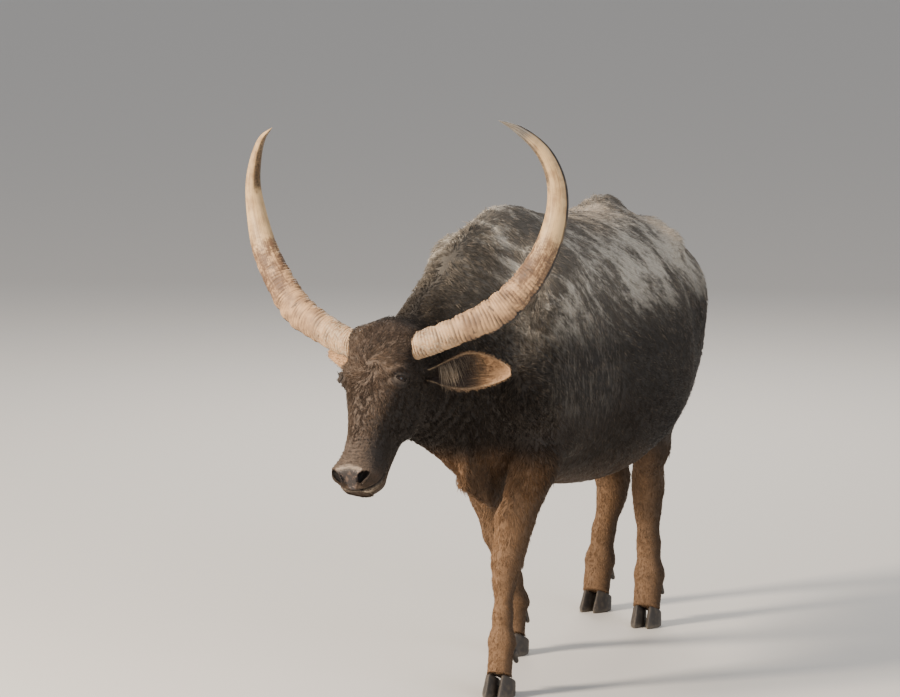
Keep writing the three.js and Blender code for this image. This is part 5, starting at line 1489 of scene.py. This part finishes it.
def locks(starts, ways, lengths, widths, droop, curl):
    """Points and triangles of many locks, each along a line that droops or curls."""
    count, stations = len(starts), len(LOCK_SHARES)
    s = LOCK_SHARES[None, :, None]
    line = starts[:, None] + ways[:, None] * (lengths[:, None, None] * s)
    line = line + (np.array([0, 0, -1.0]) * droop[:, None] + curl)[:, None] * (lengths[:, None, None] * s * s)
    along = unit(np.gradient(line, axis=1))
    across = unit(np.cross(along, (0.3, 1.0, 0.2)))
    other = np.cross(along, across)
    angle = np.array([0.0, 2.0944, 4.1888])[:, None]
    size = (widths[:, None] * LOCK_WIDTHS)[..., None, None]
    ring = np.cos(angle) * across[:, :, None] + LOCK_FLAT * np.sin(angle) * other[:, :, None]
    points = (line[:, :, None] + ring * size / 2).reshape(-1, 3)
    i, j = np.meshgrid(np.arange(stations - 1), np.arange(3), indexing="ij")
    a, b = i * 3 + j, i * 3 + (j + 1) % 3
    walls = np.stack([np.stack([a, b, b + 3], -1), np.stack([a, b + 3, a + 3], -1)], 0).reshape(-1, 3)
    end = (stations - 1) * 3
    one = np.concatenate([walls, [(2, 1, 0), (end, end + 1, end + 2)]])
    faces = ((np.arange(count) * stations * 3)[:, None, None] + one[None]).reshape(-1, 3)
    return points, faces


def place_tints(count, seed):
    """A shade for each lock, on all its points."""
    return np.repeat(np.random.default_rng(seed).uniform(0.0, 1.0, count), len(LOCK_SHARES) * 3)


# %% Locks as pieces
PATCH = 0.003


def keep_uv(made, name, uv):
    """Puts a UV map on a mesh."""
    made.data.uv_layers.new(name=name).data.foreach_set("uv", uv.astype(np.float32).ravel())


def lock_piece(name, shape, tints, roots, material):
    """Many locks as one piece, each with a small UV patch at its root's place on the unwrap."""
    made = make_mesh(name, *shape, {"tint": tints}, material)
    side_place, end_place = np.meshgrid((-0.5, 0.0, 0.5), LOCK_SHARES - 0.5)
    patch = np.stack([side_place, end_place], -1).reshape(-1, 2) * PATCH
    keep_uv(made, "OFBake", (roots[:, None] + patch).reshape(-1, 2)[shape[1]])
    return made


def finish_locks(name, dark, light, rough):
    """Hair whose locks differ a little in shade."""
    tree = Finish(name, {"Roughness": rough, "Specular IOR Level": 0.35})
    return tree.done(tree.mix(dark, light, tree.attribute("tint")))


# %% Tail switch
SWITCH_LONG, SWITCH_COUNT = 0.245, 520
switch_random = np.random.default_rng(21)
switch_top = TAIL_PATH[-1]
high = switch_random.uniform(0, 0.62, SWITCH_COUNT) ** 0.9
turn = switch_random.uniform(0, 2 * math.pi, SWITCH_COUNT)
out = np.column_stack([np.cos(turn), np.sin(turn), np.zeros(SWITCH_COUNT)])
core = switch_top + np.array([0.006, -0.008, -0.1375]) * high[:, None]
switch_starts = core + out * (0.012 - 0.006 * high)[:, None] + (0, 0, 0.004)
switch_ways = unit(out * 0.16 + (0.02, -0.03, -1) + 0.05 * switch_random.normal(size=(SWITCH_COUNT, 3)))
switch_lengths = SWITCH_LONG * (1 - 0.42 * high) * switch_random.uniform(0.62, 0.96, SWITCH_COUNT)
switch_widths = switch_random.uniform(0.003, 0.006, SWITCH_COUNT)
switch_droop = np.full(SWITCH_COUNT, 0.02)
switch_shape = locks(switch_starts, switch_ways, switch_lengths, switch_widths, switch_droop, -0.1 * out)
switch_roots = 0.05 + 0.9 * np.column_stack([turn / (2 * math.pi), high])
switch_hair = finish_locks("switch_hair", (0.01, 0.008, 0.007), (0.045, 0.034, 0.026), 0.5)
switch_tints = place_tints(SWITCH_COUNT, 22)
switch = lock_piece("tail_switch_hair", switch_shape, switch_tints, switch_roots, switch_hair)
print("switch locks:", SWITCH_COUNT, "lowest point", switch_shape[0][:, 2].min().round(3))

# %% [markdown]
# ## The coat
#
# The coat is short and lies flat, and its tufts break up the outline and the light. Modelling them
# one by one is hopeless, and particle hair is lost outside this program. A node tree scatters small
# clumps over the skin, turns each so that it lies the right way, and makes them real mesh. Each
# tuft is a flat, closed spindle of six triangles, sunk at its root. Its UV patch sits where its
# root sits on an unwrap of the body: the trunk, head and tail are unrolled round their own lines,
# and so is each leg.

# %% Unroll the skin
def leg_line(leg, height):
    """Where the middle of a leg is at a given height."""
    joints = np.array([joint[:3] for joint in leg["joints"]])[::-1]
    return [np.interp(height, joints[:, 2], joints[:, k]) for k in (0, 1)]


def unrolled(points, faces):
    """A UV place for every corner: each limb unrolled round its own line, each in its own strip."""
    middle = points[faces].mean(axis=1)
    head_middle = to_head(middle)
    sheets = [("trunk", np.ones(len(middle), bool), 0.02, 0.48, 0.96, 0.5)]
    is_head = (middle[:, 1] < -0.52) & (head_middle[:, 2] > -0.27)
    sheets.append(("head", is_head, 0.02, 0.02, 0.44, 0.42))
    low = middle[:, 2] < 0.7
    for k, (name, leg) in enumerate(LEGS.items()):
        x, y = leg_line(leg, middle[:, 2])
        mine = low & (np.hypot(middle[:, 0] - x, middle[:, 1] - y) < 0.14)
        sheets.append((name, mine, 0.5 + 0.1 * k, 0.02, 0.08, 0.42))
    sheets.append(("tail", middle[:, 1] > 1.37, 0.92, 0.02, 0.05, 0.42))
    uv = np.zeros((len(faces), 3, 2))
    for name, mine, left, foot, wide, high in sheets:
        for corner in range(3):
            places = (middle[mine], points[faces[mine, corner]])
            (face_turn, _), (turn, along) = [round_and_along(name, p) for p in places]
            turn = face_turn + (turn - face_turn + 0.5) % 1 - 0.5
            uv[mine, corner] = np.column_stack([left + wide * turn, foot + high * along])
    return uv


def round_and_along(name, p):
    """How far round and along its own line a point is, both as shares."""
    if name == "head":
        h = to_head(p)
        side, out, along = h[:, 0], h[:, 2] + 0.09, (h[:, 1] + 0.1) / 0.7
    elif name == "trunk":
        side, out, along = p[:, 0], p[:, 2] - 1.1, (p[:, 1] + 0.75) / 2.2
    elif name == "tail":
        side, out, along = p[:, 0] - 0.02, p[:, 1] - 1.4, (p[:, 2] - 0.6) / 0.9
    else:
        x, y = leg_line(LEGS[name], p[:, 2])
        side, out, along = p[:, 0] - x, p[:, 1] - y, p[:, 2] / 0.8
    return np.arctan2(side, out) / (2 * math.pi) + 0.5, along


# %% Clumps of tufts
TUFTS_IN_CLUMP, CLUMP_KINDS = 4, 6
TUFT_FACES = np.array([(0, 2, 1), (0, 3, 2), (0, 1, 3), (4, 1, 2), (4, 2, 3), (4, 3, 1)])
TUFT_PATCH = np.array([(0.5, 0.0), (0.0, 0.4), (0.5, 0.4), (1.0, 0.4), (0.5, 1.0)])
TUFT_SHADE = (0.55, 0.9, 1.0, 0.9, 1.0)
coat_random = np.random.default_rng(31)


def clump(name, wide, curve, spread, bend):
    """A few flat spindles lying along +X, one long. The thickness of the coat is along +Z."""
    points, faces, patches, shades = [], [], [], []
    for k in range(TUFTS_IN_CLUMP):
        turn, long = coat_random.normal(0, 0.16), coat_random.uniform(0.75, 1.15)
        root = coat_random.uniform(-spread, spread, 2)
        half = wide * coat_random.uniform(0.7, 1.2) / 2
        middle = coat_random.uniform(0.3, 0.48)
        sway = coat_random.uniform(-bend, bend)
        shape = np.array([
            (0, 0, -0.05), (middle, -half - sway, 0.0), (middle, half * 0.2 - sway, curve * 0.9 + half * 0.5),
            (middle * 1.05, half - sway, 0.0), (1.0, sway, -curve),
        ]) * (long, 1, 1)
        shape[:, 0], shape[:, 1] = spun(shape[:, 0], shape[:, 1], turn)
        points.append(shape + (*root, coat_random.uniform(-0.02, 0.03)))
        faces.append(TUFT_FACES + 5 * k)
        patches.append(TUFT_PATCH + root * 3.0)
        shades.append(np.full(5, coat_random.uniform(0, 1)) * TUFT_SHADE)
    mesh = bpy.data.meshes.new(name)
    faces = np.concatenate(faces)
    mesh.from_pydata(np.concatenate(points).tolist(), [], faces.tolist())
    mesh.uv_layers.new(name="patch").data.foreach_set("uv", np.concatenate(patches)[faces.ravel()].ravel())
    mesh.attributes.new("shade", "FLOAT", "POINT").data.foreach_set("value", np.concatenate(shades))
    return bpy.data.objects.new(name, mesh)


def clump_set(name, wide, curve, spread, bend):
    """A collection of clumps that the tree picks from."""
    kept = bpy.data.collections.new(name)
    for k in range(CLUMP_KINDS):
        kept.objects.link(clump(f"{name}_{k}", wide, curve, spread, bend))
    return kept


short_clumps = clump_set("short_clump", 0.08, 0.022, 0.36, 0.03)
shaggy_clumps = clump_set("shaggy_clump", 0.078, 0.05, 0.36, 0.07)


# %% The tree that scatters them
def coat_tree():
    """A geometry tree: scatter, turn, place, make real, and give each tuft its UV patch."""
    group = bpy.data.node_groups.new("coat", "GeometryNodeTree")
    sockets = {"Geometry": "Geometry", "Clumps": "Collection", "Cover": "String", "Seed": "Int",
               "Material": "Material"}
    for name, kind in sockets.items():
        made = group.interface.new_socket(name, in_out="INPUT", socket_type="NodeSocket" + kind)
        sockets[name] = made.identifier
    group.interface.new_socket("Geometry", in_out="OUTPUT", socket_type="NodeSocketGeometry")
    tree = Tree(group)
    entry = group.nodes.new("NodeGroupInput")
    given = {s.name: Value(tree, s) for s in entry.outputs if s.name}

    def named(name, kind="FLOAT"):
        return tree.node("GeometryNodeInputNamedAttribute", {"data_type": kind}, {"Name": name}, "Attribute")

    def stored(geometry, name, value, kind="FLOAT", domain="POINT"):
        sockets = {"Geometry": geometry, "Name": name, "Value": value}
        return tree.node("GeometryNodeStoreNamedAttribute", {"data_type": kind, "domain": domain}, sockets)

    def random(low, high, seed):
        sockets = {"Min_001": low, "Max_001": high, "Seed": seed}
        return tree.node("FunctionNodeRandomValue", {"data_type": "FLOAT"}, sockets, "Value")

    def turned(rotation, axis, angle):
        spin = tree.node("FunctionNodeAxisAngleToRotation", None, {"Axis": axis, "Angle": angle}, "Rotation")
        sockets = {"Rotation": rotation, "Rotate By": spin}
        return tree.node("FunctionNodeRotateRotation", {"rotation_space": "LOCAL"}, sockets, "Rotation")

    spread = {"Mesh": given["Geometry"], "Density": named(given["Cover"]), "Seed": given["Seed"]}
    method = {"distribute_method": "RANDOM"}
    points = tree.node("GeometryNodeDistributePointsOnFaces", method, spread, "Points")
    normal = Value(tree, points.socket.node.outputs["Normal"])
    ways = {"Primary Axis": normal, "Secondary Axis": named("lie", "FLOAT_VECTOR")}
    axes = {"primary_axis": "Z", "secondary_axis": "X"}
    rotation = tree.node("FunctionNodeAxesToRotation", axes, ways, "Rotation")
    rotation = turned(rotation, (0, 0, 1), random(-0.34, 0.34, 1))
    rotation = turned(rotation, (0, 1, 0), named("lift") * random(-1.35, -0.55, 2))
    size = named("hair") * random(0.72, 1.28, 3)
    kinds = {"Collection": given["Clumps"], "Separate Children": True, "Reset Children": True}
    clumps = tree.node("GeometryNodeCollectionInfo", None, kinds, "Instances")
    laid = {"Points": points, "Instance": clumps, "Pick Instance": True, "Rotation": rotation,
            "Scale": tree.join(size, size, size)}
    placed = tree.node("GeometryNodeInstanceOnPoints", None, laid, "Instances")
    placed = stored(placed, "clump_tint", random(0.0, 1.0, 4), domain="INSTANCE")
    real = tree.node("GeometryNodeRealizeInstances", None, {"Geometry": placed})
    # Each tuft's tint: random, darker at its root as painted shade, times the tone with its painted light.
    real = stored(real, "tint", (named("clump_tint") * 0.45 + named("shade") * 0.55) * named("tone"))
    patch = tree.vector("SCALE", tree.vector("SUBTRACT", named("patch", "FLOAT_VECTOR"), (0.5, 0.5, 0)))
    patch.socket.node.inputs["Scale"].default_value = PATCH
    at = tree.vector("ADD", named("skin_uv", "FLOAT_VECTOR"), patch)
    real = stored(real, "OFBake", at, "FLOAT2", "CORNER")
    for gone in "patch skin_uv shade clump_tint lie lift hair tone UVMap cover_*".split():
        way = {"pattern_mode": "WILDCARD" if "*" in gone else "EXACT"}
        real = tree.node("GeometryNodeRemoveAttribute", way, {"Geometry": real, "Name": gone}, "Geometry")
    real = tree.node("GeometryNodeSetMaterial", None, {"Geometry": real, "Material": given["Material"]})
    tree.feed(group.nodes.new("NodeGroupOutput").inputs[0], real)
    return group, sockets


# %% Grow a piece of the coat
coat_group, coat_sockets = coat_tree()


def grow(name, emitter, cover, clumps, seed, material):
    """Runs the tree on an emitter and keeps the result as a piece of its own."""
    modifier = emitter.modifiers.new("coat", "NODES")
    modifier.node_group = coat_group
    for key, value in (("Clumps", clumps), ("Cover", cover), ("Seed", seed), ("Material", material)):
        modifier[coat_sockets[key]] = value
    seen = emitter.evaluated_get(bpy.context.evaluated_depsgraph_get())
    mesh = bpy.data.meshes.new_from_object(seen)
    emitter.modifiers.remove(modifier)
    mesh.name = name
    return add_object(name, mesh)


# %% Where each piece of the coat grows
CLUMPS_EACH = 6800
CLUMPS = {"face": 8200, "poll": 7700}
HEAD_PARTED, BODY_PARTED, LEGS_PARTED, PART_SOFT = (-0.215,), (-0.22, 0.3, 0.8), (0.55,), 0.01


def area_of_points(points, faces):
    """A third of the area of the faces round each point."""
    a, b, c = (points[faces[:, k]] for k in range(3))
    area = 0.5 * np.linalg.norm(np.cross(b - a, c - a), axis=1)
    return sum(np.bincount(faces[:, k], area, len(points)) for k in range(3)) / 3


def split_share(value, places):
    """Shares of a point in bands between places, which add up to one."""
    steps = [np.ones_like(value)] + [smooth_step(p - PART_SOFT, p + PART_SOFT, value) for p in places]
    steps.append(np.zeros_like(value))
    return [a - b for a, b in zip(steps, steps[1:])]


is_leg = on_leg * (1 - on_head)
is_body = (1 - on_head) * (1 - is_leg)
covers = {}
for names, limb, value, places in (
    (("face", "poll"), on_head, -to_head(skin_points)[:, 1], HEAD_PARTED),
    (("neck", "shoulder", "barrel", "rump"), is_body, y, BODY_PARTED),
    (("forelegs", "hindlegs"), is_leg, y, LEGS_PARTED),
):
    for name, share in zip(names, split_share(value, places)):
        covers[name] = limb * share
bareness = (1 - bare) * smooth_step(0.02, 0.05, z)
point_area = area_of_points(skin_points, skin_faces)
skin_attributes = {"lie": lie, "hair": hair, "lift": lift, "tone": tone, "face": face_shade, "dim": shade}
for name, share in covers.items():
    wanted = share * bareness * hair ** -1.3
    clumps = CLUMPS.get(name, CLUMPS_EACH)
    skin_attributes["cover_" + name] = wanted * clumps / (wanted * point_area).sum()
emitter = make_mesh("coat_emitter", skin_points, skin_faces, skin_attributes)
keep_uv(emitter, "skin_uv", unrolled(skin_points, skin_faces))
coat = {}
for number, name in enumerate(covers):
    kinds = shaggy_clumps if name in ("face", "neck", "poll") else short_clumps
    coat[name] = grow("coat_" + name, emitter, "cover_" + name, kinds, 100 + number, coat_hair)
    print("coat", name, len(coat[name].data.polygons), "faces")
bpy.data.objects.remove(emitter)

# %% Short hair of the ears
EAR_CLUMPS = 2300
EAR_HAIR_GREY, EAR_HAIR_TAN = (0.06, 0.044, 0.035), (0.46, 0.275, 0.145)
EAR_HAIR_PALE, EAR_HAIR_DARK_AND_ROOT_SHADE = (0.68, 0.5, 0.31), (0.02, 0.014, 0.011)


def finish_ear_hair():
    """Grey-brown at the root of the ear, tan towards its tip and on its rim."""
    tree = Finish("ear_hair", {"Roughness": 0.55, "Specular IOR Level": 0.35})
    tint, tan = tree.attribute("tint"), tree.attribute("tan")
    pale = tan * tint.ramp(0.5, 1.0) * 0.55
    colour = tree.layers(EAR_HAIR_GREY, (EAR_HAIR_TAN, tan), (EAR_HAIR_PALE, pale))
    # Each tuft darker at random, and at its root as painted shade.
    return tree.done(tree.mix(EAR_HAIR_DARK_AND_ROOT_SHADE, colour, 0.35 + tint * 0.75))


def ear_coat(side):
    """Short hair over both walls of an ear, longer and paler along its rim."""
    points, faces, values = ear_shapes[side]
    t, share, inside = values["along"], values["share"], values["inside"]
    _, outwards, facing, upward = ear_axes(side)
    rim = smooth_step(0.78, 0.98, np.abs(share))
    way = outwards + upward * (share * (0.35 + 0.9 * rim))[:, None]
    way = way + facing * (0.5 * rim - 0.3 * inside)[:, None]
    given = {"lie": way, "hair": 0.008 - 0.001 * rim + 0.008 * inside * (1 - t), "lift": 0.09 + 0.04 * rim}
    given["tone"] = 0.8 + 0.3 * rim
    tan = rim * smooth_step(0.15, 0.45, t) * 0.7 + smooth_step(0.55, 0.95, t + 0.15 * inside)
    given["tan"] = np.clip(tan, 0, 1)
    wanted = (0.6 + 0.9 * rim + 0.2 * inside) * smooth_step(0.0, 0.06, t)
    given["cover_ear"] = wanted * EAR_CLUMPS / (wanted * area_of_points(points, faces)).sum()
    emitter = make_mesh("ear_emitter", points, faces, given)
    flat = np.column_stack([0.02 + 0.46 * (share + 1) / 2 + 0.5 * inside, 0.02 + 0.96 * t])
    keep_uv(emitter, "skin_uv", flat[faces])
    made = grow("coat_ear_" + SIDE_NAMES[side], emitter, "cover_ear", short_clumps, 60 + side, ear_hair)
    bpy.data.objects.remove(emitter)
    return made


ear_hair = finish_ear_hair()
ear_coats = {side: ear_coat(side) for side in SIDE_NAMES}
print("ear hair faces:", [len(made.data.polygons) for made in ear_coats.values()])

# %% Fringes of the ears
FRINGE_LOCKS = 300
fringe_hair = finish_locks("fringe_hair", (0.06, 0.042, 0.03), (0.4, 0.32, 0.23), 0.6)
fringes = {}
for side, side_name in SIDE_NAMES.items():
    fringe_random = np.random.default_rng(41 if side > 0 else 42)
    count = FRINGE_LOCKS
    t = 0.2 + 0.46 * fringe_random.uniform(0, 1, count) ** 1.8
    share = fringe_random.uniform(-0.2, 0.94, count)
    starts = ear_place(side, t, share, fringe_random.uniform(0.5, 1.0, count))
    sparse = smooth_step(0.3, 0.46, t)
    slant = side * (0.5 + 0.3 * sparse + 0.16 * fringe_random.normal(size=count))
    slant = slant if side > 0 else slant * 0.4
    ways = unit(np.column_stack([slant, -0.24 - 0.16 * fringe_random.uniform(size=count), -np.ones(count)]))
    lengths = (0.094 - 0.05 * sparse) * (0.55 + 0.45 * np.abs(share))
    lengths = lengths * fringe_random.uniform(0.45, 1.1, count)
    widths = (0.0022 - 0.0008 * sparse) * fringe_random.uniform(0.6, 1.2, count)
    shape = locks(starts, ways, lengths, widths, fringe_random.uniform(0.0, 0.3, count), 0)
    tints = place_tints(count, 43) * np.repeat(1 - 0.55 * sparse, len(LOCK_SHARES) * 3)
    roots = np.column_stack([0.5 + 0.24 * (share + 1), 0.02 + 0.96 * t])
    fringes[side] = lock_piece("ear_fringe_" + side_name, shape, tints, roots, fringe_hair)
print("fringe locks on each ear:", FRINGE_LOCKS)

# %% Lashes
LASHES, LASH_WIDE, LASH_UPPER, LASH_LOWER = 90, 0.0007, 0.012, 0.006
lash_hair = finish_locks("lash_hair", (0.008, 0.006, 0.005), (0.04, 0.028, 0.02), 0.5)
lashes = {}
for side, side_name in SIDE_NAMES.items():
    lash_random = np.random.default_rng(51 if side > 0 else 52)
    above = lash_random.uniform(size=LASHES) < 0.7
    turn = np.where(above, 1, -1) * lash_random.uniform(0.3, math.pi - 0.3, LASHES)
    centre, look = EYES[side]
    _, upward, forward = eye_axes(look)
    starts = centre + lid_ways(side, turn, np.full(LASHES, 0.03)) * (EYE_RADIUS + 0.0022)
    away = lid_ways(side, turn, np.full(LASHES, 0.6)) * 0.6 + forward * 0.8
    ways = unit(away + 0.1 * lash_random.normal(size=(LASHES, 3)))
    lengths = np.where(above, LASH_UPPER, LASH_LOWER) * lash_random.uniform(0.6, 1.1, LASHES)
    curl = (upward * np.sign(turn)[:, None]) * 0.25
    shape = locks(starts, ways, lengths, np.full(LASHES, LASH_WIDE), np.zeros(LASHES), curl)
    roots = 0.5 + 0.4 * np.column_stack([np.cos(turn), np.sin(turn)])
    lashes[side] = lock_piece("lashes_" + side_name, shape, place_tints(LASHES, 53), roots, lash_hair)
print("lashes round each eye:", LASHES)

# %% [markdown]
# ## Into the frame
#
# Every piece belongs to the animal, which has no moving part, so all ride the root. The imported parts that
# the pieces stand for are hidden.

# %% Hand the pieces over
flesh = ["head", "neck", "torso", "tail"]
flesh += [f"leg_{leg}_{half}" for leg in LEGS for half in ("upper", "lower")]
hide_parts(*flesh)
slots = {skin: "hide", switch: "tail_hair"}
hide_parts("tail_switch")
for side, side_name in SIDE_NAMES.items():
    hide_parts(f"horn_{side_name}_base", f"horn_{side_name}_tip")
    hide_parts("eye_" + side_name)
    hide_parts("ear_" + side_name)
    slots |= {horns[side]: "horn", eyes[side]: "eye", lids_made[side]: "hide", lashes[side]: "hide"}
    slots |= dict.fromkeys((ears[side], fringes[side], ear_coats[side]), "ear_hide")
for node, piece in feet.items():
    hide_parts(node)
    slots[piece] = "hoof"
for name, piece in coat.items():
    slots[piece] = "leg_hide" if "legs" in name else "hide"
for piece, slot in slots.items():
    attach(piece, "root")
print("pieces:", len(slots), "triangles:", sum(len(piece.data.polygons) for piece in slots))

# %% [markdown]
# ## Floor, light and camera
#
# The studio is plain: a pale floor, a warm soft key from the front left of the picture, a cool
# fill, a weak light from behind and a pale sky. The camera stands as in the photograph, ahead of
# the animal's left shoulder and above its back, twenty metres away with a long lens.

# %% Floor and lights
FLOOR_HALF, FLOOR_PALE = 30.0, (0.62, 0.6, 0.57, 1)
floor = add_object("floor", bpy.data.meshes.new("floor"))
corners = [(x * FLOOR_HALF, y * FLOOR_HALF, 0) for x, y in ((-1, -1), (1, -1), (1, 1), (-1, 1))]
floor.data.from_pydata(corners, [], [(0, 1, 2, 3)])
floor.data.materials.append(Finish("pale_floor", {"Base Color": FLOOR_PALE, "Roughness": 0.9}).material)

AIM = Vector((0.0, 0.0, 1.0))
# Each light: its name, place, power, size and colour.
LIGHTS = (
    ("key", (-5.2, -6.2, 5.0), 1900, 1.8, (1.0, 0.86, 0.7)),
    ("fill", (7.5, -4.0, 4.6), 300, 5.0, (0.96, 0.97, 1.0)),
    ("rim", (-2.0, 6.5, 5.5), 420, 3.0, (1.0, 0.94, 0.86)),
)
for name, place, power, size, colour in LIGHTS:
    lamp = bpy.data.lights.new(name, "AREA")
    lamp.energy, lamp.size, lamp.color = power, size, colour
    light = add_object(name, lamp)
    light.location = place
    light.rotation_euler = (AIM - Vector(place)).to_track_quat("-Z", "Y").to_euler()
world = bpy.data.worlds.new("pale_sky")
world.use_nodes = True
sky = world.node_tree.nodes["Background"].inputs
sky[0].default_value, sky[1].default_value = (0.84, 0.85, 0.88, 1), 0.55
bpy.context.scene.world = world
print("lights:", len(LIGHTS))

# %% Camera
AZIMUTH, ELEVATION, DISTANCE, LENS, SENSOR = math.radians(22), math.radians(8), 20.0, 227.2, 36.0
PIXELS_WIDE, PIXELS_HIGH = 900, 697
WITHERS, WITHERS_PIXEL = np.array([0, 0, 1.683]) + FRAME_STEP, (510, 203)
level = math.cos(ELEVATION)
back = np.array([math.sin(AZIMUTH) * level, -math.cos(AZIMUTH) * level, math.sin(ELEVATION)])
right = np.array([math.cos(AZIMUTH), math.sin(AZIMUTH), 0])
up = np.cross(back, right)
pixel = DISTANCE * SENSOR / LENS / PIXELS_WIDE
target = WITHERS - right * (WITHERS_PIXEL[0] - PIXELS_WIDE / 2) * pixel
target = target - up * (PIXELS_HIGH / 2 - WITHERS_PIXEL[1]) * pixel
camera = add_object("camera", bpy.data.cameras.new("camera"))
camera.data.lens, camera.data.sensor_width, camera.data.clip_end = LENS, SENSOR, 200
camera.location = target + back * DISTANCE
camera.rotation_euler = (math.pi / 2 - ELEVATION, 0, AZIMUTH)
bpy.context.scene.camera = camera
print("camera at", tuple(round(v, 3) for v in camera.location))
